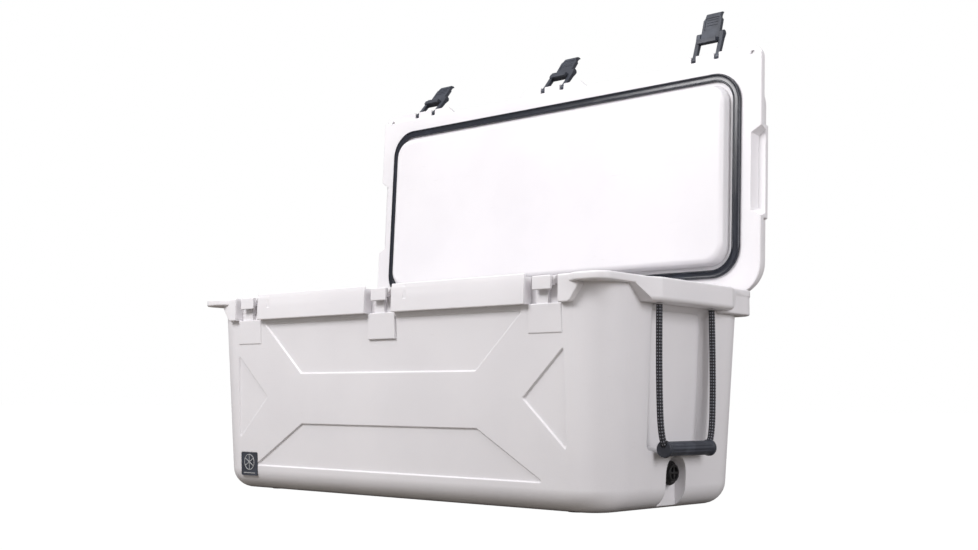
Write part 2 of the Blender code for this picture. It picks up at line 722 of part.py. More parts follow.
def lid_local(point):
    """A point of the closed lid, relative to the hinge axis."""
    return (point[0], point[1] - HINGE_Y, point[2] - HINGE_Z)


def lid_loft(name, rings, axis_empty, **placing):
    return loft(name, [[lid_local(point) for point in ring] for ring in rings], parent=axis_empty, **placing)


def lid_prism(name, outline, low, high, axis_empty, **placing):
    rings = [[(x, y, z) for x, y in outline] for z in (low, high)]
    return lid_loft(name, rings, axis_empty, **placing)


def flange_outline():
    corner = (LID_X - EAR_RADIUS, LID_FRONT + EAR_RADIUS)
    back = (LID_X - CROWN_RADIUS, RIM_Y - CROWN_RADIUS)
    points = [(LATCH_SPACING - BLOCK_HALF - BLOCK_SPLAY, LID_EDGE), (LATCH_SPACING - BLOCK_HALF, LID_FRONT)]
    points += circle(corner, EAR_RADIUS, 6, -math.pi / 2, math.pi / 2)
    points += circle(back, CROWN_RADIUS, 8, 0, math.pi / 2)
    return mirrored(points)


def crown_ring(inset, z, draw=0.0):
    """A ring of the lid's raised top. Its back is flush with the flange."""
    front = LID_EDGE + CROWN_FRONT + inset + draw
    back = RIM_Y - BITE * 0.6 - inset - draw
    half = LID_X - CROWN_INSET - inset - draw
    return rounded(half, (back - front) / 2, CROWN_RADIUS - draw, z, (back + front) / 2)


def plug_ring(inset, z):
    """A ring of the plug under the lid."""
    inset += PLUG_CLEARANCE
    return rounded(INSIDE_X - inset, INSIDE_Y - inset, INSIDE_CORNER, z)


def lid_foam_form(name, gap, axis_empty, **placing):
    skin = SKIN + gap
    low = LID_Z + GASKET_ROOT + skin + LID_FOAM_MARGIN
    inset = LID_NOTCH_DEPTH + skin
    rings = [crown_ring(skin, low), crown_ring(skin, LID_TOP - skin, CROWN_DRAFT + LID_FOAM_MARGIN * 2)]
    form = lid_loft(name, rings, axis_empty, **placing)
    plug = [plug_ring(PLUG_DRAFT + skin, LID_Z - PLUG_DEPTH + skin),
            plug_ring(skin + LID_FOAM_MARGIN, low + LID_FOAM_LAP)]
    join(form, lid_loft(name + "_plug", plug, axis_empty))
    for side, sign in ENDS.items():
        low_x, high_x = sorted((sign * (LID_X - inset), sign * (LID_X + FAR)))
        half = LID_NOTCH_HALF + LID_NOTCH_SPLAY + skin
        cut(form, lid_prism(f"{name}_notch_{side}", rectangle(low_x, -half, high_x, half),
                            LID_Z - BITE, LID_Z + LID_NOTCH_HEIGHT + skin, axis_empty))
    return form


def lift_lips(axis_empty):
    """The lip over each notch, by which the lid is lifted. Its top slopes down outwards."""
    low = LID_Z + LID_FLANGE - BITE
    high = LID_Z + LID_NOTCH_HEIGHT + LIFT_LIP
    half = LID_NOTCH_HALF + LID_NOTCH_SPLAY + LIFT_LIP_SIDE
    inner = LID_X - LID_NOTCH_DEPTH - LIFT_LIP_ROOT
    for side, sign in ENDS.items():
        outline = [(inner, low), (LID_X, low), (LID_X, high - LIFT_LIP_DROP), (LID_X - CROWN_INSET, high),
                   (inner, high)]
        rings = [[(sign * x, y, z) for x, z in outline] for y in (-half, half)]
        yield lid_loft(f"lift_lip_{side}", rings, axis_empty)


def lid_notches(axis_empty):
    """The finger recess under each end of the lid."""
    for side, sign in ENDS.items():
        inner = LID_X - LID_NOTCH_DEPTH
        half = LID_NOTCH_HALF
        wide = half + LID_NOTCH_SPLAY
        points = [(inner, -half), (LID_X + BITE, -wide), (LID_X + FAR, -wide), (LID_X + FAR, wide),
                  (LID_X + BITE, wide), (inner, half)]
        yield lid_prism(f"lid_notch_{side}", [(sign * x, y) for x, y in points], LID_Z - FAR,
                        LID_Z + LID_NOTCH_HEIGHT, axis_empty)


def latch_blocks(axis_empty):
    """The blocks on the lid's front edge that carry the latch pins."""
    for side, x in LATCHES.items():
        wide = BLOCK_HALF + BLOCK_SPLAY
        root = LID_EDGE + BITE * 4
        points = [(x - wide, root), (x - wide, LID_EDGE), (x - BLOCK_HALF, LID_FRONT),
                  (x + BLOCK_HALF, LID_FRONT), (x + wide, LID_EDGE), (x + wide, root)]
        yield lid_prism(f"block_form_{side}", points, BLOCK_Z, BLOCK_Z + BLOCK_THICKNESS, axis_empty)


def front_trim(axis_empty):
    """Clears the flange's underside over the aprons and the latch gaps."""
    yield lid_prism("front_trim", rectangle(-RIM_X - FAR, LID_FRONT - FAR, RIM_X + FAR, LID_EDGE),
                    LID_Z - PAST, BLOCK_Z, axis_empty)


def arm_slots(axis_empty):
    half = ARM_THICKNESS / 2 + ARM_SLOT_CLEARANCE
    back = PIN_Y + ARM_EYE_RADIUS + ARM_SLOT_CLEARANCE
    for side, x in LATCHES.items():
        for hand in (-1, 1):
            centre = x + hand * ARM_CENTRE
            outline = rectangle(centre - half, LID_FRONT - FAR, centre + half, back)
            yield lid_prism(f"arm_slot_{side}_{hand}", outline, LID_Z - FAR, LID_TOP + FAR, axis_empty)


def mouth_ring(out, z):
    """A ring that follows the tub's inside edge, at a distance out from it."""
    return rounded(INSIDE_X + out, INSIDE_Y + out, INSIDE_CORNER + out, z)


def lid_ring_cutter(name, inner, outer, low, high, axis_empty):
    """A rectangular ring between two outsets from the tub's inside edge."""
    made = lid_loft(name, [mouth_ring(outer, z) for z in (low, high)], axis_empty)
    hole = [mouth_ring(inner, z) for z in (low - PAST, high + PAST)]
    cut(made, lid_loft(name + "_hole", hole, axis_empty))
    return made


def knuckles(axis_empty):
    radius = KNUCKLE_RADIUS
    outline = [(-radius, KNUCKLE_HEIGHT)] + circle((0, 0), radius, 10, math.pi, math.pi)
    outline += [(radius, KNUCKLE_HEIGHT)]
    for side, sign in ENDS.items():
        yield prism(f"knuckle_{side}", outline, sign * HINGE_X - KNUCKLE_HALF, sign * HINGE_X + KNUCKLE_HALF,
                    axis="X", parent=axis_empty)


def build_gasket(axis_empty, finish):
    """A bulb seal: its root in the lid's groove and two lobes under it."""
    half, root = GASKET_WIDTH / 2, GASKET_ROOT_HALF
    low, top = LID_Z - GASKET_PROUD, LID_Z - FIT
    one_side = [(-root, LID_Z + GASKET_ROOT), (-root, top), (-half, top), (-half, low + GASKET_EDGE),
                (-half + GASKET_EDGE, low), (-GASKET_LOBE_GAP, low)]
    section = one_side + [(0, low + GASKET_LOBE_RISE)] + [(-across, z) for across, z in reversed(one_side)]
    rings = [mouth_ring(GASKET_MIDDLE + across, z) for across, z in section]
    bm = bmesh.new()
    made = [[bm.verts.new(lid_local(point)) for point in ring] for ring in rings]
    for low_ring, high_ring in zip(made, made[1:] + made[:1]):
        for i, corner in enumerate(low_ring):
            j = (i + 1) % len(low_ring)
            bm.faces.new((corner, low_ring[j], high_ring[j], high_ring[i]))
    add_mesh("lid_gasket", bm, finish=finish, parent=axis_empty)


def lid_ports(axis_empty, radius, low, high, finish=None, name="lid_port"):
    middle = LID_Z + LID_FLANGE + (LID_HEIGHT - LID_FLANGE - CROWN_EDGE) / 2
    for side, sign in ENDS.items():
        place = lid_local((sign * LID_FILL_X, RIM_Y, middle))
        yield turned(f"{name}_{side}", [(radius, low), (radius, high)], axis="Y", parent=axis_empty,
                     origin=place, finish=finish)


def build_lid(finishes):
    axis_empty = empty("lid_axis", (0, HINGE_Y, HINGE_Z), turn_x=-OPEN_ANGLE)
    lid = lid_prism("lid_shell", flange_outline(), LID_Z, LID_Z + LID_FLANGE, axis_empty,
                    finish=finishes["shell"])
    cut(lid, *front_trim(axis_empty))
    crown = [crown_ring(0, LID_Z + CROWN_FOOT), crown_ring(0, LID_TOP - CROWN_EDGE, CROWN_DRAFT * 0.7),
             crown_ring(CROWN_EDGE * 0.3, LID_TOP - CROWN_EDGE * 0.3, CROWN_DRAFT),
             crown_ring(CROWN_EDGE, LID_TOP, CROWN_DRAFT)]
    plug = [plug_ring(PLUG_DRAFT + PLUG_EDGE, LID_Z - PLUG_DEPTH),
            plug_ring(PLUG_DRAFT, LID_Z - PLUG_DEPTH + PLUG_EDGE), plug_ring(0, LID_Z + CROWN_FOOT + BITE)]
    join(lid, lid_loft("crown_form", crown, axis_empty), lid_loft("plug_form", plug, axis_empty),
         *latch_blocks(axis_empty), *knuckles(axis_empty), *lift_lips(axis_empty))
    groove = GASKET_ROOT_HALF + FIT
    cut(lid, *lid_notches(axis_empty), *arm_slots(axis_empty),
        lid_ring_cutter("gasket_groove", GASKET_MIDDLE - groove, GASKET_MIDDLE + groove, LID_Z - BITE,
                        LID_Z + GASKET_ROOT + FIT, axis_empty),
        lid_foam_form("lid_foam_space", 0.0, axis_empty),
        *lid_ports(axis_empty, FILL_RADIUS + FIT, -SKIN - FILL_BORE, PAST))
    under = LID_Z - HINGE_Z
    cut(lid, *padlock_holes(under - PAST, under + LID_FLANGE + PAST, axis_empty, (0, HINGE_Y, 0)))
    bush, inner = BUSH_RADIUS + FIT, ROD_RADIUS + FIT
    for side, sign in ENDS.items():
        place = (sign * HINGE_X, 0, 0)
        cut(lid, turned(f"bush_bore_{side}", [(bush, -FAR / 2), (bush, FAR / 2)], axis="X",
                        origin=place, parent=axis_empty))
        sleeve = turned(f"hinge_bush_{side}", [(BUSH_RADIUS, -KNUCKLE_HALF), (BUSH_RADIUS, KNUCKLE_HALF)],
                        axis="X", origin=place, parent=axis_empty, finish=finishes["bush"])
        cut(sleeve, turned(f"bush_hole_{side}", [(inner, -FAR / 2), (inner, FAR / 2)], axis="X",
                           origin=place, parent=axis_empty))
    for x in LATCHES.values():
        place = lid_local((x, PIN_Y, PIN_Z))
        half = ARM_CENTRE + ARM_THICKNESS + PIN_BORE_END
        cut(lid, turned(f"pin_hole_{x}", [(PIN_RADIUS + FIT, -half), (PIN_RADIUS + FIT, half)], axis="X",
                        sides=12, origin=place, parent=axis_empty))
    lid_foam_form("lid_foam", FIT, axis_empty, finish=finishes["foam"])
    list(lid_ports(axis_empty, FILL_RADIUS, -SKIN + LID_FILL_INSET, -LID_FILL_INSET, finishes["shell"],
                   "lid_fill_plug"))
    build_gasket(axis_empty, finishes["gasket"])
    half = ROD_BORE_HALF - ROD_END_GAP
    for side, sign in ENDS.items():
        turned(f"hinge_rod_{side}", [(ROD_RADIUS, -half), (ROD_RADIUS, half)], axis="X",
               origin=(sign * HINGE_X, HINGE_Y, HINGE_Z), finish=finishes["steel"])
    return axis_empty


# ---------------------------------------------------------------- latches


def arm_outline():
    """A latch arm's side, from its eye on the lid to its end on the lever's pin, as (y, z)."""
    eye = circle((0, 0), ARM_EYE_RADIUS, 8, -math.pi / 2, math.pi)
    end = circle((-ARM_LENGTH, 0), ARM_END_RADIUS, 8, math.pi / 2, math.pi)
    return eye + end


def lever_outline():
    """The lever's side as (y, z): a hook at its short end and a curled tip at its long end."""
    half = LEVER_THICKNESS / 2
    nib = LEVER_SHORT + HOOK_NIB
    hook = [(LEVER_SHORT - LEVER_EDGE, half), (LEVER_SHORT, half - LEVER_EDGE), (LEVER_SHORT, -HOOK_IN),
            (nib, -HOOK_IN), (nib, -HOOK_OUT + HOOK_NIB * 0.2), (nib - HOOK_NIB * 0.4, -HOOK_OUT),
            (LEVER_SHORT - HOOK_NIB, -HOOK_OUT), (LEVER_SHORT - HOOK_NIB - LEVER_EDGE, -half)]
    tip = [(-LEVER_LONG + LEVER_EDGE * 2, -half), (-LEVER_LONG, -half + LEVER_EDGE),
           (-LEVER_LONG - CURL, half + CURL * 0.7), (-LEVER_LONG, half + CURL),
           (-LEVER_LONG + CURL * 2, half)]
    return hook + tip


def build_latch(side, x, lid_axis, finishes):
    pin_place = lid_local((x, PIN_Y, PIN_Z))
    link = empty(f"link_axis_{side}", pin_place, lid_axis, -math.radians(LATCH_LEANS[side]))
    lever_axis = empty(f"lever_axis_{side}", (0, -ARM_LENGTH, 0), link, -math.radians(LEVER_LEAN))
    half_pin = ARM_CENTRE + ARM_THICKNESS + PIN_BORE_END - PIN_END_GAP
    turned(f"latch_pin_{side}", [(PIN_RADIUS, -half_pin), (PIN_RADIUS, half_pin)], axis="X", sides=12,
           origin=pin_place, parent=lid_axis, finish=finishes["steel"])
    for hand_name, hand in ENDS.items():
        centre = hand * ARM_CENTRE
        arm = prism(f"latch_arm_{side}_{hand_name}", arm_outline(), centre - ARM_THICKNESS / 2,
                    centre + ARM_THICKNESS / 2, axis="X", parent=link, finish=finishes["slate"])
        for name, y in (("eye", 0), ("end", -ARM_LENGTH)):
            hole = [(PIN_RADIUS + FIT, -PAST), (PIN_RADIUS + FIT, PAST)]
            cut(arm, turned(f"arm_{name}_{side}_{hand_name}", hole, axis="X", sides=12,
                            origin=(centre, y, 0), parent=link))
    lever_half = ARM_CENTRE - ARM_THICKNESS / 2 - LEVER_CLEARANCE
    lever = prism(f"latch_lever_{side}", lever_outline(), -lever_half, lever_half, axis="X",
                  parent=lever_axis, finish=finishes["slate"])
    tip = lever_half - TIP_INSET
    for hand in (-1, 1):
        points = [(tip, -LEVER_LONG - PAST), (lever_half + PAST, -LEVER_LONG - PAST),
                  (lever_half + PAST, -LEVER_LONG + TIP_LENGTH), (lever_half, -LEVER_LONG + TIP_LENGTH),
                  (tip, -LEVER_LONG + TIP_LENGTH * 2 / 3)]
        corner = [(hand * x, y) for x, y in points]
        cut(lever, prism(f"lever_corner_{side}_{hand}", corner, -PAST, PAST, parent=lever_axis))
    cut(lever, turned(f"lever_hole_{side}", [(PIN_RADIUS + FIT, -FAR), (PIN_RADIUS + FIT, FAR)], axis="X",
                      sides=12, parent=lever_axis))
    half = ARM_CENTRE + ARM_THICKNESS / 2 - LEVER_PIN_SHORT
    turned(f"lever_pin_{side}", [(PIN_RADIUS, -half), (PIN_RADIUS, half)], axis="X", sides=12, parent=link,
           origin=(0, -ARM_LENGTH, 0), finish=finishes["steel"])


# ---------------------------------------------------------------- handles


def rope_route():
    """The rope's own points as (y, z) from the bracket, for the half at -Y."""
    return [(-0.0850, -0.0026), (-0.0862, -0.055), (-0.0866, -0.110), (-0.0856, -0.165), (-0.0822, -0.212),
            (-0.0730, -0.2405), (-0.0520, -0.2500), (-0.0200, -0.2500)]


def smooth(points, per_step):
    """Points along a smooth curve through the points given."""
    padded = [points[0] * 2 - points[1], *points, points[-1] * 2 - points[-2]]
    path = []
    for a, b, c, d in zip(padded, padded[1:], padded[2:], padded[3:]):
        for i in range(per_step):
            t = i / per_step
            path.append(0.5 * ((2 * b) + (c - a) * t + (2 * a - 5 * b + 4 * c - d) * t * t
                               + (3 * b - a - 3 * c + d) * t ** 3))
    return path + [points[-1]]


def rope_path(sign):
    half = [Vector((0, y, z)) for y, z in rope_route()]
    whole = half + [Vector((0, -point.y, point.z)) for point in reversed(half)]
    centre = Vector((sign * ROPE_X, 0, BRACKET_Z))
    return [centre + point for point in smooth(whole, 2)]


def tube_curve(name, path, radius, origin):
    curve = bpy.data.curves.new(name, "CURVE")
    curve.dimensions = "3D"
    curve.bevel_depth = radius
    curve.bevel_resolution = 2
    curve.use_fill_caps = True
    spline = curve.splines.new("POLY")
    spline.points.add(len(path) - 1)
    for spot, point in zip(spline.points, path):
        spot.co = (*(point - Vector(origin)), 1.0)
    obj = bpy.data.objects.new(name, curve)
    bpy.context.scene.collection.objects.link(obj)
    obj.location = origin
    return obj


def build_handle(side, sign, finishes):
    origin = (sign * ROPE_X, 0, HANDLE_Z)
    path = rope_path(sign)
    rope = tube_curve(f"handle_rope_{side}", path, ROPE_RADIUS, origin)
    rope.data.materials.append(finishes["rope"])
    guide = tube_curve(f"grip_guide_{side}", path, ROPE_RADIUS + GRIP_CLEARANCE, origin)
    bpy.context.view_layer.update()
    graph = bpy.context.evaluated_depsgraph_get()
    channel_mesh = bpy.data.meshes.new_from_object(guide.evaluated_get(graph))
    bpy.data.objects.remove(guide, do_unlink=True)
    channel = bpy.data.objects.new(f"grip_channel_{side}", channel_mesh)
    bpy.context.scene.collection.objects.link(channel)
    channel.location = origin
    channel.hide_render = True
    channel.display_type = "WIRE"
    flare = GRIP_RADIUS + GRIP_FLARE
    one_end = [(flare - GRIP_EDGE, -GRIP_HALF_LENGTH), (flare, -GRIP_HALF_LENGTH + GRIP_EDGE),
               (flare, -GRIP_HALF_LENGTH + GRIP_FLARE_LENGTH / 2),
               (GRIP_RADIUS, -GRIP_HALF_LENGTH + GRIP_FLARE_LENGTH)]
    profile = one_end + [(radius, -at) for radius, at in reversed(one_end)]
    grip = turned(f"handle_grip_{side}", profile, axis="Y", sides=14, finish=finishes["slate"],
                  origin=(sign * ROPE_X, 0, GRIP_Z))
    cut(grip, channel)
    knot = KNOT_TOP - KNOT_HEIGHT
    profile = [(ROPE_RADIUS, BRACKET_Z + FIT * 2), (ROPE_RADIUS, knot),
               (KNOT_RADIUS * 0.8, knot + KNOT_EDGE / 5), (KNOT_RADIUS, knot + KNOT_EDGE),
               (KNOT_RADIUS, KNOT_TOP - KNOT_EDGE),
               (KNOT_RADIUS * 0.75, KNOT_TOP)]
    for depth, hand in (("front", -1), ("rear", 1)):
        turned(f"rope_knot_{depth}_{side}", profile, finish=finishes["rope"],
               origin=(sign * ROPE_X, hand * ROPE_HALF_SPACING, 0))


# ---------------------------------------------------------------- drain


def build_drain(finishes):
    """The threaded fitting through the end wall, its nut inside, and the cap with its seal outside."""
    place = (0, 0, DRAIN_Z)
    outer_flange = RECESS_X + FIT
    neck_end = outer_flange + DRAIN_FLANGE + DRAIN_NECK
    nut_end = SUMP_X - FIT
    tube_start = nut_end - DRAIN_FLANGE - DRAIN_TUBE_END
    fitting = turned("drain_fitting", [
        (DRAIN_TUBE_RADIUS, tube_start), (DRAIN_TUBE_RADIUS, outer_flange),
        (DRAIN_FLANGE_RADIUS, outer_flange),
        (DRAIN_FLANGE_RADIUS, outer_flange + DRAIN_FLANGE), (DRAIN_TUBE_RADIUS, outer_flange + DRAIN_FLANGE),
        (DRAIN_TUBE_RADIUS, neck_end)], axis="X", origin=place, finish=finishes["black"])
    way = [(DRAIN_BORE_RADIUS, tube_start - PAST), (DRAIN_BORE_RADIUS, neck_end + PAST)]
    cut(fitting, turned("drain_way", way, axis="X", origin=place))
    nut = turned("drain_nut", [(DRAIN_FLANGE_RADIUS, nut_end - DRAIN_FLANGE), (DRAIN_FLANGE_RADIUS, nut_end)],
                 axis="X", sides=6, origin=place, finish=finishes["black"])
    hole = [(DRAIN_TUBE_RADIUS + FIT, nut_end - PAST), (DRAIN_TUBE_RADIUS + FIT, nut_end + PAST)]
    cut(nut, turned("nut_hole", hole, axis="X", origin=place))
    seal_start = outer_flange + DRAIN_FLANGE + FIT
    seal_radius = DRAIN_FLANGE_RADIUS - SEAL_TRIM
    seal = turned("drain_seal", [(seal_radius, seal_start), (seal_radius, seal_start + SEAL_THICKNESS)],
                  axis="X", origin=place, finish=finishes["rubber"])
    seal_hole = DRAIN_TUBE_RADIUS + SEAL_CLEARANCE
    cut(seal, turned("seal_hole", [(seal_hole, seal_start - PAST), (seal_hole, seal_start + PAST)], axis="X",
                     origin=place))
    cap_start = seal_start + SEAL_THICKNESS + FIT
    cap_end = cap_start + DRAIN_CAP_LENGTH
    cap = turned("drain_cap", [
        (DRAIN_CAP_RADIUS, cap_start), (DRAIN_CAP_RADIUS, cap_start + DRAIN_CAP_LENGTH * CAP_SHOULDER[0]),
        (DRAIN_CAP_RADIUS - CAP_TAPER, cap_start + DRAIN_CAP_LENGTH * CAP_SHOULDER[1]),
        (DRAIN_CAP_RADIUS - CAP_FACE_TAPER, cap_end)], axis="X", origin=place, finish=finishes["black"])
    socket = DRAIN_TUBE_RADIUS + FIT
    cut(cap, turned("cap_socket", [(socket, cap_start - PAST), (socket, neck_end + CAP_SOCKET_END)], axis="X",
                    origin=place))
    flute = [(CAP_FLUTE_RADIUS, cap_start + CAP_FLUTE_START), (CAP_FLUTE_RADIUS, cap_end + PAST)]
    out = DRAIN_CAP_RADIUS + CAP_FLUTE_OUT
    for i in range(CAP_FLUTES):
        turn = math.tau * i / CAP_FLUTES
        spot = (0, math.cos(turn) * out, DRAIN_Z + math.sin(turn) * out)
        cut(cap, turned(f"cap_flute_{i}", flute, axis="X", sides=8, origin=spot))


def main():
    clear_scene()
    finishes = {
        "shell": material("white_polyethylene", (0.83, 0.82, 0.83), 0.45),
        "foam": material("insulating_foam", (0.80, 0.72, 0.50), 0.9),
        "gasket": material("gasket_rubber", (0.045, 0.052, 0.070), 0.35),
        "slate": material("slate_plastic", (0.045, 0.052, 0.068), 0.45),
        "black": material("black_plastic", (0.010, 0.010, 0.011), 0.35),
        "rope": material("black_rope", (0.012, 0.012, 0.014), 0.8),
        "rubber": material("black_rubber", (0.015, 0.015, 0.015), 0.8),
        "steel": material("stainless_steel", (0.56, 0.57, 0.58), 0.3, 1.0),
        "bush": material("nylon_bush", (0.60, 0.60, 0.58), 0.5),
    }
    build_tub(finishes)
    lid_axis = build_lid(finishes)
    for side, x in LATCHES.items():
        build_latch(side, x, lid_axis, finishes)
    for side, sign in ENDS.items():
        build_handle(side, sign, finishes)
    build_drain(finishes)


main()
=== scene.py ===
"""Looks of the cooler chest: moulded tub and lid, latches, rope handles, drain, badge and studio.

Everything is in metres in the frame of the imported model. The lid rests open, so what belongs to it
is modelled in the closed lid's place and then swung open about the hinge.
"""

from __future__ import annotations

import json
import logging
import math
from collections.abc import Callable, Iterable, Iterator, Sequence
from dataclasses import dataclass, field
from enum import Enum

import bpy
from mathutils import Matrix, Vector

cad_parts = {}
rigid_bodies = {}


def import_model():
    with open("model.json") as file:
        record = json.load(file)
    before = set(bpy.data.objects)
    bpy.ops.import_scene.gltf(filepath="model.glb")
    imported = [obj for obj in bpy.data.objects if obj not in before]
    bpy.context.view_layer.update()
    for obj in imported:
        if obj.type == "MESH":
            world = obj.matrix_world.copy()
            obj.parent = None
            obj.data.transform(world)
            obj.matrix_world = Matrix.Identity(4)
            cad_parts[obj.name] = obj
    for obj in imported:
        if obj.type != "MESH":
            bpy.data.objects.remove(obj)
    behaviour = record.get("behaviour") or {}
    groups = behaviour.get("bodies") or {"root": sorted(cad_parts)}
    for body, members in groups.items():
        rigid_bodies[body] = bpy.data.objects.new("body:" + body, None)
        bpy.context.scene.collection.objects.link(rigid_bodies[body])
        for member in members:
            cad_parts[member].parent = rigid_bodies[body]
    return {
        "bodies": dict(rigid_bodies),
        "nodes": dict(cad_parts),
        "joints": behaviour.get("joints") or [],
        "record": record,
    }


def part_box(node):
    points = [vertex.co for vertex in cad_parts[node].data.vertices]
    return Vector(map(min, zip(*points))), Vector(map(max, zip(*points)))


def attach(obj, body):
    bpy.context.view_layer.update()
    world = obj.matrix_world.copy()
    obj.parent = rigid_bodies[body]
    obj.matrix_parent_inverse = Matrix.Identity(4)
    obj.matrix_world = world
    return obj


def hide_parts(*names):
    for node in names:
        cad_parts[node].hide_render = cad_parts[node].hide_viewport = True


LOG = logging.getLogger("cooler_chest")
Outline = Sequence[tuple[float, float]]
Point = tuple[float, float, float]
Colour = tuple[float, float, float]

# How far a cutter runs past what it cuts.
FAR = 0.12
# The room left round pins and between close faces.
FIT = 0.0003
# How near two heights are to count as the same.
LEVEL = 1e-5
# Where a latch's arms are, out from its middle.
ARM_CENTRE = 0.0273
# Where the ropes pass through the brackets.
ROPE_X = 0.53314
ROPE_Y = 0.085
# The middle of the gasket, out from the tub's inside.
GASKET_MIDDLE = 0.009
PADLOCK_RADIUS = 0.005
PORT_RADIUS = 0.0123
DRAIN_RADIUS = 0.0113
FLOOR_Z = -0.003
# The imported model's frame, filled in by main().
FRAME: dict = {}


class Axis(Enum):
    """The axis along which a slab is extruded or a turned piece runs."""

    X = 0
    Y = 1
    Z = 2

    def place(self, a: float, b: float, along: float) -> Point:
        """Puts two coordinates across the axis, and one along it, into X, Y, Z order."""
        return {0: (along, a, b), 1: (a, along, b), 2: (a, b, along)}[self.value]


class Side(Enum):
    """The two ends of the chest."""

    LEFT = -1
    RIGHT = 1

    @property
    def label(self) -> str:
        """The word used in node and piece names."""
        return self.name.lower()


# ------------------------------------------------------------------ shader graphs


class Graph:
    """A material's node tree, built one node at a time."""

    def __init__(self, name: str) -> None:
        """Starts a material with an empty tree."""
        self.material = bpy.data.materials.new(name)
        self.material.use_nodes = True
        self.tree = self.material.node_tree
        self.tree.nodes.clear()

    def node(self, kind: str, settings: dict | None = None, **sockets: object) -> bpy.types.Node:
        """Adds a node.

        Args:
            kind: The node's type name without its ShaderNode prefix.
            settings: Attributes of the node, set before its sockets.
            **sockets: Values or links by socket name, with _ for a space, or by number after an n.

        Returns:
            The new node.
        """
        made = self.tree.nodes.new("ShaderNode" + kind)
        for key, value in (settings or {}).items():
            setattr(made, key, value)
        for key, value in sockets.items():
            numbered = key[0] == "n" and key[1:].isdigit()
            socket = made.inputs[int(key[1:])] if numbered else made.inputs[key.replace("_", " ")]
            if isinstance(value, Value):
                self.tree.links.new(value.socket, socket)
            else:
                socket.default_value = value
        return made

    def value(self, kind: str, settings: dict | None = None, output: int | str = 0,
              **sockets: object) -> Value:
        """Adds a node and wraps one of its outputs."""
        return Value(self, self.node(kind, settings, **sockets).outputs[output])

    def place(self) -> Value:
        """The Object coordinates."""
        return self.value("TexCoord", output="Object")

    def noise(self, scale: float, detail: float, vector: Value | None = None) -> Value:
        """A noise texture's factor."""
        where = vector or self.place()
        return self.value("TexNoise", output="Fac", Vector=where, Scale=scale, Detail=detail)

    def blend(self, low: Colour, high: Colour, factor: Value) -> Value:
        """A colour between two, by a factor."""
        return self.value("Mix", {"data_type": "RGBA"}, output=2, n0=factor, n6=(*low, 1.0), n7=(*high, 1.0))

    def ramp(self, value: Value, low: float, high: float) -> Value:
        """A smooth step from 0 at low to 1 at high."""
        settings = {"interpolation_type": "SMOOTHSTEP"}
        return self.value("MapRange", settings, Value=value, From_Min=low, From_Max=high)

    def finish(self, height: Value | None, depth: float, distance: float, rounding: float,
               **sockets: object) -> bpy.types.Material:
        """Closes the tree with a Principled shader.

        Args:
            height: Height of the surface grain, from 0 to 1, or None.
            depth: Strength of the grain.
            distance: How deep a height of 1 is, in metres.
            rounding: Radius by which edges are rounded in the shading, in metres, or 0.
            **sockets: The shader's own values and links.

        Returns:
            The finished material.
        """
        shader = self.node("BsdfPrincipled", **sockets)
        normal = self.value("Bevel", {"samples": 6}, Radius=rounding) if rounding else None
        if height is not None:
            extra = {"Normal": normal} if normal else {}
            normal = self.value("Bump", Height=height, Strength=depth, Distance=distance, **extra)
        if normal is not None:
            self.tree.links.new(normal.socket, shader.inputs["Normal"])
        output = self.node("OutputMaterial")
        self.tree.links.new(shader.outputs[0], output.inputs[0])
        return self.material


@dataclass(frozen=True)
class Value:
    """An output socket on which Python's operators add Math nodes."""

    graph: Graph
    socket: bpy.types.NodeSocket

    def math(self, operation: str, *others: object) -> Value:
        """Adds one Math node."""
        sockets = {f"n{i}": item for i, item in enumerate((self, *others))}
        return self.graph.value("Math", {"operation": operation}, **sockets)

    def __add__(self, other: object) -> Value:
        """The sum."""
        return self.math("ADD", other)

    __radd__ = __add__

    def __mul__(self, other: object) -> Value:
        """The product."""
        return self.math("MULTIPLY", other)

    __rmul__ = __mul__

    def __sub__(self, other: object) -> Value:
        """The difference."""
        return self.math("SUBTRACT", other)

    def __rsub__(self, other: float) -> Value:
        """A number less this value."""
        return self * -1.0 + other

    def sine(self) -> Value:
        """The sine."""
        return self.math("SINE")

    def parts(self) -> tuple[Value, Value, Value]:
        """The X, Y and Z of a vector."""
        node = self.graph.node("SeparateXYZ", Vector=self)
        return tuple(Value(self.graph, out) for out in node.outputs)


# ------------------------------------------------------------------ finishes


@dataclass(frozen=True)
class MouldedPlastic:
    """Rotationally moulded polyethylene: faint clouding, a fine orange peel and a few scuffs."""

    name: str = "white_polyethylene"
    colour: Colour = (0.815, 0.80, 0.82)
    cloud: Colour = (0.78, 0.765, 0.787)
    scuff: Colour = (0.68, 0.665, 0.67)
    roughness: float = 0.42
    rounding: float = 0.0022

    def build(self) -> bpy.types.Material:
        """Makes the material."""
        graph = Graph(self.name)
        clouds = graph.ramp(graph.noise(5.0, 4.0), 0.35, 0.70)
        streaks = graph.value("Mapping", Vector=graph.place(), Scale=(3.0, 3.0, 26.0))
        scuffs = graph.ramp(graph.noise(9.0, 9.0, streaks), 0.66, 0.80)
        base = graph.blend(self.colour, self.cloud, clouds)
        colour = graph.value("Mix", {"data_type": "RGBA"}, output=2, n0=scuffs * 0.35, n6=base,
                             n7=(*self.scuff, 1.0))
        peel = graph.noise(420.0, 3.0)
        dimples = graph.noise(95.0, 2.0)
        height = peel * 0.65 + dimples * 0.35
        rough = graph.noise(38.0, 5.0) * 0.14 + (self.roughness - 0.07) + scuffs * 0.10
        return graph.finish(height, 0.35, 0.0004, self.rounding, Base_Color=colour, Roughness=rough,
                            IOR=1.51, Subsurface_Weight=0.06, Subsurface_Scale=0.01,
                            Subsurface_Radius=(1.0, 0.9, 0.85))


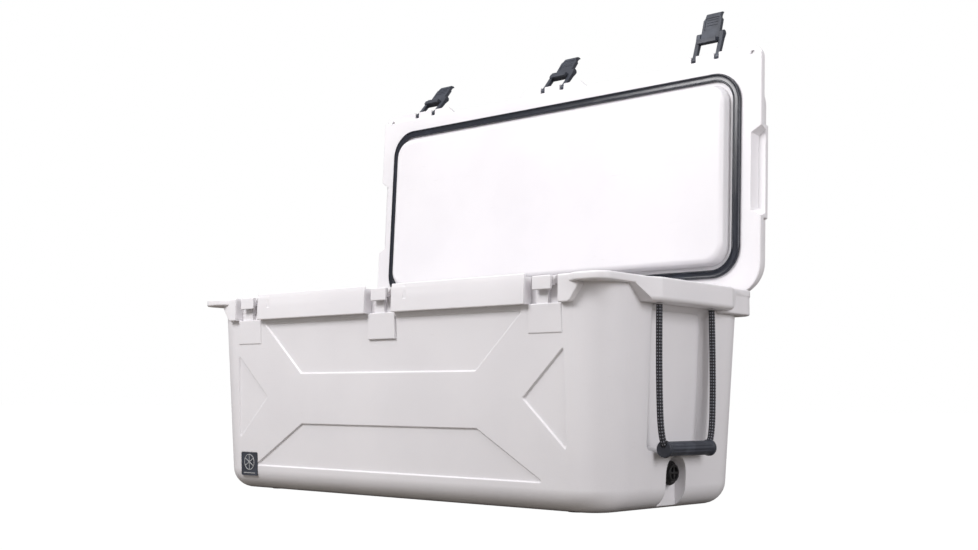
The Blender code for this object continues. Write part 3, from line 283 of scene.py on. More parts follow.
@dataclass(frozen=True)
class HardPlastic:
    """Injection-moulded plastic with a spark-eroded grain, lighter where it is handled."""

    name: str
    colour: Colour
    worn: Colour
    roughness: float = 0.42
    grain: float = 900.0
    rounding: float = 0.0007

    def build(self) -> bpy.types.Material:
        """Makes the material."""
        graph = Graph(self.name)
        patches = graph.ramp(graph.noise(30.0, 5.0), 0.40, 0.75)
        grain = graph.noise(self.grain, 2.0)
        colour = graph.blend(self.colour, self.worn, patches * 0.7 + grain * 0.25)
        rough = patches * -0.10 + grain * 0.12 + self.roughness
        return graph.finish(grain, 0.40, 0.00025, self.rounding, Base_Color=colour, Roughness=rough, IOR=1.49)


@dataclass(frozen=True)
class SoftRubber:
    """Extruded or moulded rubber with fine lines along its length and a little bloom."""

    name: str
    colour: Colour
    bloom: Colour
    roughness: float = 0.38

    def build(self) -> bpy.types.Material:
        """Makes the material."""
        graph = Graph(self.name)
        bloom = graph.ramp(graph.noise(22.0, 6.0), 0.50, 0.85)
        grain = graph.noise(700.0, 3.0)
        colour = graph.blend(self.colour, self.bloom, bloom * 0.6 + grain * 0.15)
        rough = graph.noise(60.0, 4.0) * 0.20 + (self.roughness - 0.08)
        return graph.finish(grain, 0.30, 0.0002, 0.0, Base_Color=colour, Roughness=rough, IOR=1.50)


@dataclass(frozen=True)
class Metal:
    """Drawn stainless rod with fine marks round it."""

    name: str = "stainless_steel"
    colour: Colour = (0.60, 0.61, 0.62)
    dull: Colour = (0.42, 0.42, 0.43)

    def build(self) -> bpy.types.Material:
        """Makes the material."""
        graph = Graph(self.name)
        drawn = graph.value("Mapping", Vector=graph.place(), Scale=(40.0, 900.0, 900.0))
        marks = graph.noise(1.0, 4.0, drawn)
        colour = graph.blend(self.colour, self.dull, graph.ramp(marks, 0.35, 0.75))
        rough = marks * 0.18 + 0.20
        return graph.finish(marks, 0.20, 0.0001, 0.0004, Base_Color=colour, Roughness=rough, Metallic=1.0)


@dataclass(frozen=True)
class Foam:
    """Poured polyurethane foam with closed cells, painted darker in the pits of the cells as shade."""

    name: str = "insulating_foam"
    colour: Colour = (0.82, 0.72, 0.48)
    pore: Colour = (0.58, 0.47, 0.27)

    def build(self) -> bpy.types.Material:
        """Makes the material."""
        graph = Graph(self.name)
        cells = graph.value("TexVoronoi", output="Distance", Vector=graph.place(), Scale=260.0)
        # Darker towards the bottom of each cell's pit, where the bump sinks: painted shade.
        colour = graph.blend(self.pore, self.colour, graph.ramp(cells, 0.08, 0.45))
        rough = graph.noise(30.0, 3.0) * 0.1 + 0.82
        return graph.finish(cells, 0.8, 0.001, 0.0, Base_Color=colour, Roughness=rough)


@dataclass(frozen=True)
class BraidedRope:
    """Polyester braid with a painted highlight on the crests of its strands. U runs round the rope and V
    along it, one unit for each pitch of the braid.
    """

    name: str = "black_braid"
    colour: Colour = (0.010, 0.010, 0.012)
    thread: Colour = (0.045, 0.045, 0.055)
    fleck: Colour = (0.34, 0.35, 0.40)
    strands: int = 8

    def build(self) -> bpy.types.Material:
        """Makes the material."""
        graph = Graph(self.name)
        around, along, _ = graph.value("UVMap").parts()
        right = ((along + around) * (math.pi * self.strands)).sine()
        left = ((along - around) * (math.pi * self.strands)).sine()
        fibres = (around * (math.tau * 90.0) + along * (math.tau * 9.0)).sine() * 0.5 + 0.5
        weave = right * left
        # Where the weave stands highest, a pale colour is mixed in: a painted highlight on the crests of the
        # strands.
        painted_highlights = graph.ramp(weave, 0.35, 0.62)
        # The base is lighter along the fine fibres, their real thread tone, and on the crests of the weave, a
        # painted highlight.
        base = graph.blend(self.colour, self.thread, weave * 0.35 + fibres * 0.3 + 0.35)
        colour = graph.value("Mix", {"data_type": "RGBA"}, output=2, n0=painted_highlights * 0.8, n6=base,
                             n7=(*self.fleck, 1.0))
        rough = fibres * 0.12 + 0.62
        height = weave * 0.35 + fibres * 0.3 + 0.35
        return graph.finish(height, 0.7, 0.0006, 0.0, Base_Color=colour, Roughness=rough)


@dataclass
class Palette:
    """Every finish of the chest, built once."""

    shell: bpy.types.Material = field(init=False)
    slate: bpy.types.Material = field(init=False)
    black: bpy.types.Material = field(init=False)
    gasket: bpy.types.Material = field(init=False)
    rubber: bpy.types.Material = field(init=False)
    rope: bpy.types.Material = field(init=False)
    steel: bpy.types.Material = field(init=False)
    nylon: bpy.types.Material = field(init=False)
    foam: bpy.types.Material = field(init=False)
    emblem: bpy.types.Material = field(init=False)

    def __post_init__(self) -> None:
        """Builds the materials."""
        self.shell = MouldedPlastic().build()
        self.slate = HardPlastic("slate_plastic", (0.028, 0.032, 0.044), (0.066, 0.075, 0.098)).build()
        self.black = HardPlastic("black_plastic", (0.008, 0.008, 0.009), (0.030, 0.030, 0.032), 0.30).build()
        self.gasket = SoftRubber("gasket_rubber", (0.012, 0.014, 0.022), (0.030, 0.035, 0.050), 0.20).build()
        self.rubber = SoftRubber("black_rubber", (0.014, 0.014, 0.014), (0.050, 0.050, 0.048), 0.70).build()
        self.rope = BraidedRope().build()
        self.steel = Metal().build()
        self.nylon = HardPlastic("nylon_bush", (0.62, 0.61, 0.57), (0.50, 0.49, 0.45), 0.45).build()
        self.foam = Foam().build()
        self.emblem = HardPlastic("pale_plastic", (0.55, 0.56, 0.57), (0.42, 0.43, 0.44), 0.40).build()


# ------------------------------------------------------------------ modelling by hand


def only(obj: bpy.types.Object) -> bpy.types.Object:
    """Makes an object the only one selected, and active."""
    bpy.ops.object.select_all(action="DESELECT")
    obj.select_set(True)
    bpy.context.view_layer.objects.active = obj
    return obj


def started(name: str) -> bpy.types.Object:
    """Names the primitive just added and applies its place to its mesh."""
    obj = bpy.context.active_object
    obj.name = name
    obj.data.name = name
    only(obj)
    bpy.ops.object.transform_apply(location=True, rotation=True, scale=True)
    return obj


def block(name: str, low: Point, high: Point) -> bpy.types.Object:
    """A cube primitive between two corners."""
    middle = [(a + b) / 2 for a, b in zip(low, high)]
    size = [b - a for a, b in zip(low, high)]
    bpy.ops.object.select_all(action="DESELECT")
    bpy.ops.mesh.primitive_cube_add(size=1.0, location=middle, scale=size)
    return started(name)


def arc(centre: tuple[float, float], radius: float, start: float, sweep: float, steps: int) -> list:
    """Points of an arc, both ends included. Angles are in degrees."""
    turns = [math.radians(start + sweep * i / steps) for i in range(steps + 1)]
    return [(centre[0] + radius * math.cos(t), centre[1] + radius * math.sin(t)) for t in turns]


def mirrored(points: Outline) -> list:
    """An outline closed by its own mirror image across the first coordinate."""
    return [*points, *((-a, b) for a, b in reversed(points))]


def rectangle(low_a: float, low_b: float, high_a: float, high_b: float) -> list:
    """The outline of a rectangle."""
    return [(low_a, low_b), (high_a, low_b), (high_a, high_b), (low_a, high_b)]


def drawn_in(points: Outline, distance: float) -> list:
    """An outline moved inwards all round by a distance."""
    count = len(points)
    area = sum(points[i - 1][0] * points[i][1] - points[i][0] * points[i - 1][1] for i in range(count))
    hand = 1.0 if area > 0 else -1.0
    moved = []
    for i, here in enumerate(points):
        into = (Vector(here) - Vector(points[i - 1])).normalized()
        away = (Vector(points[(i + 1) % count]) - Vector(here)).normalized()
        normals = [Vector((-d.y, d.x)) * hand for d in (into, away)]
        bisector = (normals[0] + normals[1]).normalized()
        reach = distance / max(bisector.dot(normals[0]), 0.3)
        moved.append((here[0] + bisector.x * reach, here[1] + bisector.y * reach))
    return moved


def lofted(name: str, rings: Sequence[Sequence[Point]], capped: bool) -> bpy.types.Object:
    """Extrudes a circle primitive once for each further ring, then puts every point in its place.

    Args:
        name: The object's name.
        rings: Outlines with the same number of points, in order along the body.
        capped: Whether the first and last ring are closed with faces.

    Returns:
        The object.
    """
    count = len(rings[0])
    bpy.ops.object.select_all(action="DESELECT")
    bpy.ops.mesh.primitive_circle_add(vertices=count, radius=1.0, fill_type="NGON" if capped else "NOTHING")
    obj = started(name)
    bpy.ops.object.mode_set(mode="EDIT")
    for _ in rings[1:]:
        bpy.ops.mesh.extrude_region_move(TRANSFORM_OT_translate={"value": (0.0, 0.0, 1.0)})
    bpy.ops.object.mode_set(mode="OBJECT")
    for vertex in obj.data.vertices:
        turn = math.atan2(vertex.co.y, vertex.co.x) - math.pi / 2
        vertex.co = rings[round(vertex.co.z)][round(turn / math.tau * count) % count]
    return obj


def outwards(obj: bpy.types.Object, merge: float = 0.0) -> bpy.types.Object:
    """Merges points nearer than a distance, and turns every face outwards."""
    only(obj)
    bpy.ops.object.mode_set(mode="EDIT")
    bpy.ops.mesh.select_all(action="SELECT")
    if merge:
        bpy.ops.mesh.remove_doubles(threshold=merge)
    bpy.ops.mesh.normals_make_consistent(inside=False)
    bpy.ops.object.mode_set(mode="OBJECT")
    return obj


def solid(name: str, rings: Sequence[Sequence[Point]]) -> bpy.types.Object:
    """A closed body through rings, with its normals outwards."""
    return outwards(lofted(name, rings, True))


def hoop(name: str, rings: Sequence[Sequence[Point]]) -> bpy.types.Object:
    """A closed hoop through the rings that run along its section."""
    return outwards(lofted(name, [*rings, rings[0]], False), 0.00001)


def slab(name: str, outline: Outline, low: float, high: float, axis: Axis = Axis.Z,
         taper: float = 0.0) -> bpy.types.Object:
    """An outline extruded along an axis, drawn in by a taper at its low end."""
    near = drawn_in(outline, taper) if taper else outline
    rings = [[axis.place(a, b, low) for a, b in near], [axis.place(a, b, high) for a, b in outline]]
    return solid(name, rings)


def turned(name: str, centre: Point, profile: Sequence[tuple[float, float]], axis: Axis = Axis.Z,
           sides: int = 48) -> bpy.types.Object:
    """A body turned about an axis through a centre. The profile is (radius, place) pairs."""
    circle = arc((0.0, 0.0), 1.0, 0.0, 360.0 * (sides - 1) / sides, sides - 1)
    rings = [[tuple(Vector(centre) + Vector(axis.place(a * radius, b * radius, at))) for a, b in circle]
             for radius, at in profile]
    return solid(name, rings)


def pick_edges(obj: bpy.types.Object, test: Callable[[Vector, Vector], bool]) -> None:
    """Enters edit mode with the edges selected whose two ends pass a test."""
    only(obj)
    bpy.ops.object.mode_set(mode="EDIT")
    bpy.ops.mesh.select_mode(type="EDGE")
    bpy.ops.mesh.select_all(action="DESELECT")
    bpy.ops.object.mode_set(mode="OBJECT")
    points = [v.co.copy() for v in obj.data.vertices]
    for edge in obj.data.edges:
        edge.select = test(points[edge.vertices[0]], points[edge.vertices[1]])
    bpy.ops.object.mode_set(mode="EDIT")


def bevel_edges(obj: bpy.types.Object, test: Callable[[Vector, Vector], bool], width: float,
                segments: int) -> None:
    """Bevels the edges that pass a test."""
    pick_edges(obj, test)
    bpy.ops.mesh.bevel(offset=width, segments=segments, affect="EDGES", clamp_overlap=True)
    bpy.ops.object.mode_set(mode="OBJECT")


def at_level(z: float) -> Callable[[Vector, Vector], bool]:
    """A test that an edge's two ends pass when both are at a height."""
    return lambda a, b: max(abs(a.z - z), abs(b.z - z)) < LEVEL


def soften(obj: bpy.types.Object, width: float, segments: int = 3, angle: float = 30.0) -> bpy.types.Object:
    """Rounds every edge sharper than an angle."""
    only(obj)
    modifier = obj.modifiers.new("Soften", "BEVEL")
    modifier.width = width
    modifier.segments = segments
    modifier.limit_method = "ANGLE"
    modifier.angle_limit = math.radians(angle)
    bpy.ops.object.modifier_apply(modifier=modifier.name)
    return obj


def combine(target: bpy.types.Object, others: Iterable[bpy.types.Object], operation: str) -> bpy.types.Object:
    """Joins or cuts with other bodies, which are used up."""
    for other in others:
        only(target)
        modifier = target.modifiers.new("Combine", "BOOLEAN")
        modifier.operation = operation
        modifier.solver = "EXACT"
        modifier.object = other
        bpy.ops.object.modifier_apply(modifier=modifier.name)
        bpy.data.objects.remove(other, do_unlink=True)
    return target


def fuse(target: bpy.types.Object, *others: bpy.types.Object) -> bpy.types.Object:
    """Joins other bodies on."""
    return combine(target, others, "UNION")


def carve(target: bpy.types.Object, *others: bpy.types.Object) -> bpy.types.Object:
    """Cuts other bodies away."""
    return combine(target, others, "DIFFERENCE")


def tapered_box(name: str, low_half: tuple[float, float], high_half: tuple[float, float], low: float,
                high: float, corner: float, low_edge: float = 0.0, high_edge: float = 0.0,
                centre_y: float = 0.0) -> bpy.types.Object:
    """A drafted box with round corners and rounded bottom or top edges.

    Args:
        name: Its name.
        low_half: Half its length and half its width at the bottom.
        high_half: The same at the top.
        low: Height of its bottom.
        high: Height of its top.
        corner: Radius of its upright corners.
        low_edge: Radius round its bottom, or 0.
        high_edge: Radius round its top, or 0.
        centre_y: Where its middle is along Y.

    Returns:
        The body.
    """
    half_x, half_y = high_half
    body = block(name, (-half_x, centre_y - half_y, low), (half_x, centre_y + half_y, high))
    bpy.ops.object.mode_set(mode="EDIT")
    bpy.ops.mesh.select_mode(type="FACE")
    bpy.ops.mesh.select_all(action="DESELECT")
    bpy.ops.object.mode_set(mode="OBJECT")
    for face in body.data.polygons:
        face.select = face.normal.z < -0.9
    bpy.ops.object.mode_set(mode="EDIT")
    factors = (low_half[0] / half_x, low_half[1] / half_y, 1.0)
    bpy.ops.transform.resize(value=factors, center_override=(0.0, centre_y, low))
    bpy.ops.object.mode_set(mode="OBJECT")
    bevel_edges(body, lambda a, b: abs(a.z - b.z) > (high - low) / 2, corner, 12)
    for level, radius in ((low, low_edge), (high, high_edge)):
        if radius:
            bevel_edges(body, at_level(level), radius, 8)
    return body


def dress(obj: bpy.types.Object, material: bpy.types.Material, body: str,
          replaced: Sequence[str] = (), angle: float = 32.0) -> bpy.types.Object:
    """Gives a finished piece its shading, material and body, and hides the CAD nodes that it stands for."""
    only(obj)
    bpy.ops.object.shade_smooth_by_angle(angle=math.radians(angle))
    weighted = obj.modifiers.new("Weighted", "WEIGHTED_NORMAL")
    weighted.keep_sharp = True
    bpy.ops.object.modifier_apply(modifier=weighted.name)
    obj.data.materials.clear()
    obj.data.materials.append(material)
    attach(obj, body)
    if replaced:
        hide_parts(*replaced)
    LOG.info("%s: %d faces on %s", obj.name, len(obj.data.polygons), body)
    return obj


# ------------------------------------------------------------------ shared sizes


@dataclass(frozen=True)
class ChestSizes:
    """The sizes that more than one sub-assembly uses."""

    base_half_x: float = 0.5066
    base_half_y: float = 0.2176
    draft: float = math.tan(math.radians(2.84))
    rim: float = 0.400
    rim_x: float = 0.5400
    rim_y: float = 0.2456
    inside_x: float = 0.4733
    inside_y: float = 0.1919
    inside_corner: float = 0.045
    band: float = 0.352
    ear_out: float = 0.012
    ear_length: float = 0.062
    ear_radius: float = 0.028
    latch_pitch: float = 0.400
    gap_half: float = 0.0367
    hinge_x: float = 0.330
    knuckle_half: float = 0.030
    knuckle_radius: float = 0.0082
    pin_radius: float = 0.0025
    open_angle: float = 92.4

    @property
    def latches(self) -> dict[str, float]:
        """Where the three latches are along X."""
        return {"left": -self.latch_pitch, "middle": 0.0, "right": self.latch_pitch}

    @property
    def hinge(self) -> Vector:
        """A point on the hinge axis."""
        joint = next(j for j in FRAME["joints"] if j["name"] == "lid_hinge")
        return Vector(joint["pos_m"])

    @property
    def padlock(self) -> Vector:
        """The right padlock hole."""
        return Vector((self.rim_x - 0.029, -self.rim_y + 0.004, self.rim))

    def wall_x(self, z: float) -> float:
        """How far out an end wall is at a height."""
        return self.base_half_x + z * self.draft

    def wall_y(self, z: float) -> float:
        """How far out a side wall is at a height."""
        return self.base_half_y + z * self.draft


def rounded_corners(points: Outline, radius: float, steps: int = 5) -> list:
    """An outline with every corner rounded, as far as its sides have room."""
    count = len(points)
    made = []
    for i, here in enumerate(points):
        corner = Vector(here)
        back = Vector(points[i - 1]) - corner
        ahead = Vector(points[(i + 1) % count]) - corner
        half = back.angle(ahead) / 2
        reach = min(radius / math.tan(half), back.length * 0.48, ahead.length * 0.48)
        start, end = corner + back.normalized() * reach, corner + ahead.normalized() * reach
        for step in range(steps + 1):
            t = step / steps
            made.append(tuple(start * (1 - t) ** 2 + corner * 2 * t * (1 - t) + end * t * t))
    return made


def pipe(name: str, centre: Point, radius: float, low: float, high: float, axis: Axis = Axis.Z,
         sides: int = 32) -> bpy.types.Object:
    """A plain round cutter."""
    return turned(name, centre, [(radius, low), (radius, high)], axis, sides)


# ------------------------------------------------------------------ tub


@dataclass
class Tub:
    """The moulded tub with its rim, aprons, handle brackets and hinge ears."""

    sizes: ChestSizes
    palette: Palette
    corner: float = 0.072
    base_edge: float = 0.040
    floor: float = 0.045
    inside_edge: float = 0.030
    rim_thickness: float = 0.014
    rear_radius: float = 0.045
    apron_top: float = 0.0055
    apron_lip: float = 0.005
    gap_back: float = 0.0196
    panel_depth: float = 0.003
    pad_raise: float = 0.0012
    bracket_out: float = 0.020
    bracket_half: float = 0.114
    bracket_splay: float = 0.058
    foot_splay: float = 0.012
    bracket_low: float = 0.357
    bracket_high: float = 0.3985
    pocket_half: float = 0.095
    pocket_depth: float = 0.017
    pocket_low: float = 0.100
    drain_z: float = 0.063
    recess_half: float = 0.034
    recess_x: float = 0.4861
    sump_x: float = 0.4596
    sump_half: float = 0.026
    seat_out: float = 0.0215
    seat_depth: float = 0.0075
    seat_corner: float = 0.052
    rope_hole: float = 0.00685
    knot_hole: float = 0.0113
    knot_depth: float = 0.0132
    foot_x: float = 0.400
    foot_y: float = 0.140
    foot_radius: float = 0.0183
    foot_depth: float = 0.0033
    rod_bore: float = 0.0043
    rod_half: float = 0.0415
    port_x: float = 0.250
    port_depth: float = 0.006

    def on_wall(self, name: str, outline: Outline, front: bool, layers: Outline,
                radius: float = 0.0) -> bpy.types.Object:
        """A slab that follows a side wall.

        Args:
            name: Its name.
            outline: Its (x, z) points.
            front: Whether it is on the front wall.
            layers: How far out each of its layers is, and how far that layer is drawn in.
            radius: Radius of its corners.

        Returns:
            The body.
        """
        side = -1 if front else 1
        rings = []
        for out, draw in layers:
            ring = drawn_in(outline, draw)
            ring = rounded_corners(ring, radius) if radius else ring
            rings.append([(x, side * (self.sizes.wall_y(z) + out), z) for x, z in ring])
        return solid(name, rings)

    def body(self) -> bpy.types.Object:
        """The drafted outer form."""
        s = self.sizes
        top = s.rim - 0.002
        low_half, high_half = (s.wall_x(0), s.wall_y(0)), (s.wall_x(top), s.wall_y(top))
        return tapered_box("tub_moulding", low_half, high_half, 0.0, top, self.corner,
                           low_edge=self.base_edge)

    def rim(self) -> bpy.types.Object:
        """The flat rim with an ear for a padlock at each front corner."""
        s = self.sizes
        front = -s.rim_y - s.ear_out
        ear = s.rim_x - s.ear_length
        points = [(ear - 0.018, -s.rim_y), (ear, front)]
        points += arc((s.rim_x - s.ear_radius, front + s.ear_radius), s.ear_radius, -90, 90, 10)
        points += arc((s.rim_x - self.rear_radius, s.rim_y - self.rear_radius), self.rear_radius, 0, 90, 12)
        plate = slab("rim_plate", mirrored(points), s.rim - self.rim_thickness, s.rim)
        return soften(plate, 0.0032, 3, 60)

    def bands(self) -> Iterator[bpy.types.Object]:
        """The deeper parts of the rim, along the front and round the back."""
        s = self.sizes
        end, slant, depth = s.rim_x - 0.080, 0.028, 0.030
        front = [(-end, s.band), (end, s.band), (end + slant, s.rim - 0.010), (-end - slant, s.rim - 0.010)]
        band = slab("front_band", rounded_corners(front, 0.010), -s.rim_y, -s.rim_y + depth, Axis.Y)
        yield soften(band, 0.0025, 3, 60)
        radius = self.rear_radius
        points = [(s.rim_x - 0.001, self.bracket_half)]
        points += arc((s.rim_x - 0.001 - radius, s.rim_y - 0.001 - radius), radius, 0, 90, 12)
        yield soften(slab("back_band", mirrored(points), s.band, s.rim - 0.006), 0.003, 3, 60)

    def aprons(self) -> Iterator[bpy.types.Object]:
        """The lips between the latches, leaning back a little towards their tops."""
        s = self.sizes
        face, back, crease = -s.rim_y - 0.0012, -s.rim_y + self.apron_lip, s.rim - 0.020
        top = s.rim + self.apron_top
        low, lean = s.band - 0.0004, 0.0022
        section = [(back, low), (face, low), (face, crease), (face + lean, top), (back, top)]
        for sign in (-1, 1):
            near, far = sorted((sign * s.gap_half, sign * (s.latch_pitch - s.gap_half)))
            apron = soften(slab(f"apron_{sign}", section, near, far, Axis.X), 0.0018, 3, 40)
            dimple = pipe("dimple", (near + 0.036, face - 0.0018, 0.0), 0.0045, crease - 0.004, top + FAR)
            yield carve(apron, dimple)

    def gaps(self) -> Iterator[bpy.types.Object]:
        """The openings that the latches close into."""
        s = self.sizes
        for x in s.latches.values():
            low = (x - s.gap_half, -s.rim_y - FAR, s.band)
            yield block("gap", low, (x + s.gap_half, -s.rim_y + self.gap_back, s.rim + FAR))

    def keepers(self) -> Iterator[bpy.types.Object]:
        """The catch in each gap: a lip, the groove behind it and a short post below."""
        s = self.sizes
        front, back, half = -s.rim_y + 0.001, -s.rim_y + self.gap_back + 0.004, 0.0205
        lip = s.rim - 0.0245
        section = [(front, s.rim - 0.0004), (front, lip), (front + 0.005, lip), (front + 0.005, lip + 0.007),
                   (front + 0.0125, lip + 0.007), (front + 0.0125, lip + 0.011), (back, lip + 0.011),
                   (back, s.rim - 0.0004)]
        for x in s.latches.values():
            yield soften(slab("keeper", section, x - half, x + half, Axis.X), 0.0014, 3)
            low = (x - half, -s.rim_y + 0.0135, s.band - 0.002)
            yield soften(block("post", low, (x + 0.006, back, lip + 0.013)), 0.0012, 2)
            near, high = x + half - 0.001, s.rim - 0.0006
            side = [(near, high), (near, lip + 0.010), (x + half + 0.010, high)]
            yield slab("shoulder", side, -s.rim_y + 0.007, back, Axis.Y)

    def panels(self) -> Iterator[bpy.types.Object]:
        """The four sunk fields on each side wall, which leave a raised cross between them."""
        upper = [(-0.355, 0.345), (0.355, 0.345), (0.238, 0.238), (-0.238, 0.238)]
        lower = [(-0.238, 0.1387), (0.238, 0.1387), (0.392, 0.048), (-0.392, 0.048)]
        near = [(0.3436, 0.1915), (0.4408, 0.101), (0.4408, 0.282)]
        layers = [(-self.panel_depth, 0.0028), (0.0007, 0.0), (FAR, 0.0)]
        for front in (True, False):
            for outline in (upper, lower, near, [(-x, z) for x, z in near]):
                yield self.on_wall("panel", outline, front, layers, 0.004)

    def pads(self) -> Iterator[bpy.types.Object]:
        """The raised flat below each gap."""
        s = self.sizes
        layers = [(-0.004, 0.0), (self.pad_raise - 0.0008, 0.0), (self.pad_raise, 0.0010)]
        for x in s.latches.values():
            outline = rectangle(x - s.gap_half, s.band - 0.050, x + s.gap_half, s.band + 0.0006)
            yield self.on_wall("pad", outline, True, layers)

    def pockets(self) -> Iterator[bpy.types.Object]:
        """The recess in each end, behind the hanging handle, and the channel for the drain."""
        s = self.sizes
        outline = rectangle(-self.pocket_half, self.pocket_low, self.pocket_half, self.bracket_low - FIT)
        for side in Side:
            rings = []
            for out, draw in ((-self.pocket_depth, 0.010), (-0.002, 0.0015), (0.0007, 0.0), (FAR, 0.0)):
                ring = rounded_corners(drawn_in(outline, draw), 0.016)
                rings.append([(side.value * (s.wall_x(z) + out), y, z) for y, z in ring])
            yield solid("pocket", rings)
        half = self.recess_half
        arch = [(half, -FAR), *arc((0.0, self.drain_z), half, 0, 180, 20), (-half, -FAR)]
        yield slab("drain_channel", arch, self.recess_x, self.recess_x + FAR, Axis.X, taper=0.003)

    def brackets(self) -> Iterator[bpy.types.Object]:
        """The thick shelves that carry the rope handles."""
        s = self.sizes
        inner, foot, outer = s.rim_x - 0.045, s.rim_x - 0.005, s.rim_x + self.bracket_out
        low, high, reach = self.bracket_low, self.bracket_high, self.bracket_half + self.bracket_splay
        points = [(inner, -reach), (foot, -reach), (outer, -self.bracket_half), (outer, self.bracket_half),
                  (foot, reach), (inner, reach)]
        under, past = self.bracket_half + self.foot_splay, reach + 0.040
        slant = ((under, low - 0.003), (past, low - 0.003), (reach + 0.008, high))
        for side in Side:
            outline = rounded_corners([(side.value * x, y) for x, y in points], 0.012)
            shelf = slab(f"bracket_{side.label}", outline, low, high)
            bevel_edges(shelf, at_level(low), 0.008, 5)
            bevel_edges(shelf, at_level(high), 0.004, 4)
            ends = sorted((side.value * (inner - 0.01), side.value * (outer + 0.01)))
            for hand in (-1, 1):
                wedge = [(hand * y, z) for y, z in slant]
                carve(shelf, slab("slant", wedge, ends[0], ends[1], Axis.X))
            yield shelf

    def hinge_ears(self) -> Iterator[bpy.types.Object]:
        """Two ears for each hinge rod, and the ledge that the open lid rests on."""
        s = self.sizes
        y, z = s.hinge.y, s.hinge.z
        radius, root = s.knuckle_radius - 0.0004, -0.020
        ear = [(y + root, z + radius), *arc((y, z), radius, 90, -180, 14), (y + root, z - radius - 0.012)]
        top, lean, reach = z - s.knuckle_radius - 0.0006, math.tan(math.radians(s.open_angle - 90)), 0.024
        ledge = [(y - 0.012, top + 0.012 * lean), (y + reach, top - reach * lean), (y + reach, top - 0.010),
                 (y - 0.012, top - 0.026)]
        half = s.knuckle_half - 0.001
        for side in Side:
            x = side.value * s.hinge_x
            for hand in (-1, 1):
                near = x + hand * (s.knuckle_half + 0.001)
                low, high = sorted((near, near + hand * 0.014))
                yield soften(slab("ear", ear, low, high, Axis.X), 0.001, 2, 60)
            yield soften(slab("ledge", ledge, x - half, x + half, Axis.X), 0.001, 2, 60)

    def hinge_clearances(self) -> Iterator[bpy.types.Object]:
        """The notches in the rim for the lid's knuckles."""
        s = self.sizes
        half = s.knuckle_half + 0.001
        for side in Side:
            x = side.value * s.hinge_x
            yield block("hinge_notch", (x - half, s.hinge.y - s.knuckle_radius - 0.0012, s.hinge.z - 0.0095),
                        (x + half, s.hinge.y + FAR, s.rim + FAR))

    def inside(self) -> Iterator[bpy.types.Object]:
        """The space for the goods, the sump by the drain and the ledge for the gasket."""
        s = self.sizes
        high = s.rim + 0.02
        low_lean, high_lean = (s.rim - self.floor) * s.draft, -0.02 * s.draft
        yield tapered_box("core", (s.inside_x - low_lean, s.inside_y - low_lean),
                          (s.inside_x - high_lean, s.inside_y - high_lean), self.floor, high, s.inside_corner,
                          low_edge=self.inside_edge)
        low = (self.sump_x - 0.045, -self.sump_half, self.floor - 0.002)
        sump = block("sump", low, (self.sump_x, self.sump_half, self.floor + 0.042))
        yield soften(sump, 0.006, 4)
        half_x, half_y = s.inside_x + self.seat_out, s.inside_y + self.seat_out
        seat = block("seat", (-half_x, -half_y, s.rim - self.seat_depth), (half_x, half_y, high))
        bevel_edges(seat, lambda a, b: abs(a.z - b.z) > self.seat_depth, self.seat_corner, 12)
        yield seat
        yield pipe("drain_bore", (0.0, 0.0, self.drain_z), DRAIN_RADIUS, 0.43, 0.52, Axis.X)

    def holes(self) -> Iterator[bpy.types.Object]:
        """The holes for ropes, padlocks, hinge rods, feet and filling plugs, and the badge's seat."""
        s = self.sizes
        low, step = self.bracket_low, self.bracket_high - self.knot_depth
        hole, knot = self.rope_hole, self.knot_hole
        stepped = [(hole + 0.004, low - 0.002), (hole + 0.002, low), (hole, low + 0.002), (hole, step),
                   (knot, step), (knot, self.bracket_high + 0.02)]
        for side in Side:
            for hand in (-1, 1):
                yield turned("rope_hole", (side.value * ROPE_X, hand * ROPE_Y, 0.0), stepped)
                foot = (side.value * self.foot_x, hand * self.foot_y, 0.0)
                yield pipe("foot_seat", foot, self.foot_radius, -0.02, self.foot_depth, sides=40)
            padlock = (side.value * s.padlock.x, s.padlock.y, 0.0)
            yield pipe("padlock_hole", padlock, PADLOCK_RADIUS, s.rim - 0.05, s.rim + 0.05)
            rod = (side.value * s.hinge_x, s.hinge.y, s.hinge.z)
            yield pipe("rod_bore", rod, self.rod_bore, -self.rod_half, self.rod_half, Axis.X, 24)
            port = (side.value * self.port_x, 0.0, 0.0)
            yield pipe("filling_port", port, PORT_RADIUS, -0.02, self.port_depth)
        low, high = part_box("badge_plate")
        outline = rectangle(low.x - 0.0006, low.z - 0.0006, high.x + 0.0006, high.z + 0.0006)
        yield self.on_wall("badge_seat", outline, True, [(-0.0008, 0.0), (0.03, 0.0)], 0.004)

    def build(self) -> bpy.types.Object:
        """Makes the tub and dresses it."""
        tub = self.body()
        fuse(tub, self.rim(), *self.bands(), *self.aprons())
        carve(tub, *self.gaps())
        fuse(tub, *self.keepers())
        carve(tub, *self.panels())
        fuse(tub, *self.pads())
        carve(tub, *self.pockets())
        fuse(tub, *self.brackets())
        carve(tub, *self.hinge_clearances())
        fuse(tub, *self.hinge_ears())
        carve(tub, *self.inside(), *self.holes())
        return dress(tub, self.palette.shell, "root", ["tub_shell"])


# ------------------------------------------------------------------ lid


def swing_open(obj: bpy.types.Object, sizes: ChestSizes) -> bpy.types.Object:
    """Turns a piece of the closed lid about the hinge into the open lid's place."""
    only(obj)
    hinge = Matrix.Translation(sizes.hinge)
    obj.matrix_world = hinge @ Matrix.Rotation(-math.radians(sizes.open_angle), 4, "X") @ hinge.inverted()
    bpy.ops.object.transform_apply(location=True, rotation=True, scale=True)
    return obj


def rounded_ring(half_x: float, half_y: float, radius: float, z: float, steps: int = 10) -> list[Point]:
    """The points of a rounded rectangle at a height."""
    ring = []
    for quarter, (sx, sy) in enumerate(((1, 1), (-1, 1), (-1, -1), (1, -1))):
        centre = (sx * (half_x - radius), sy * (half_y - radius))
        ring += [(x, y, z) for x, y in arc(centre, radius, quarter * 90, 90, steps)]
    return ring


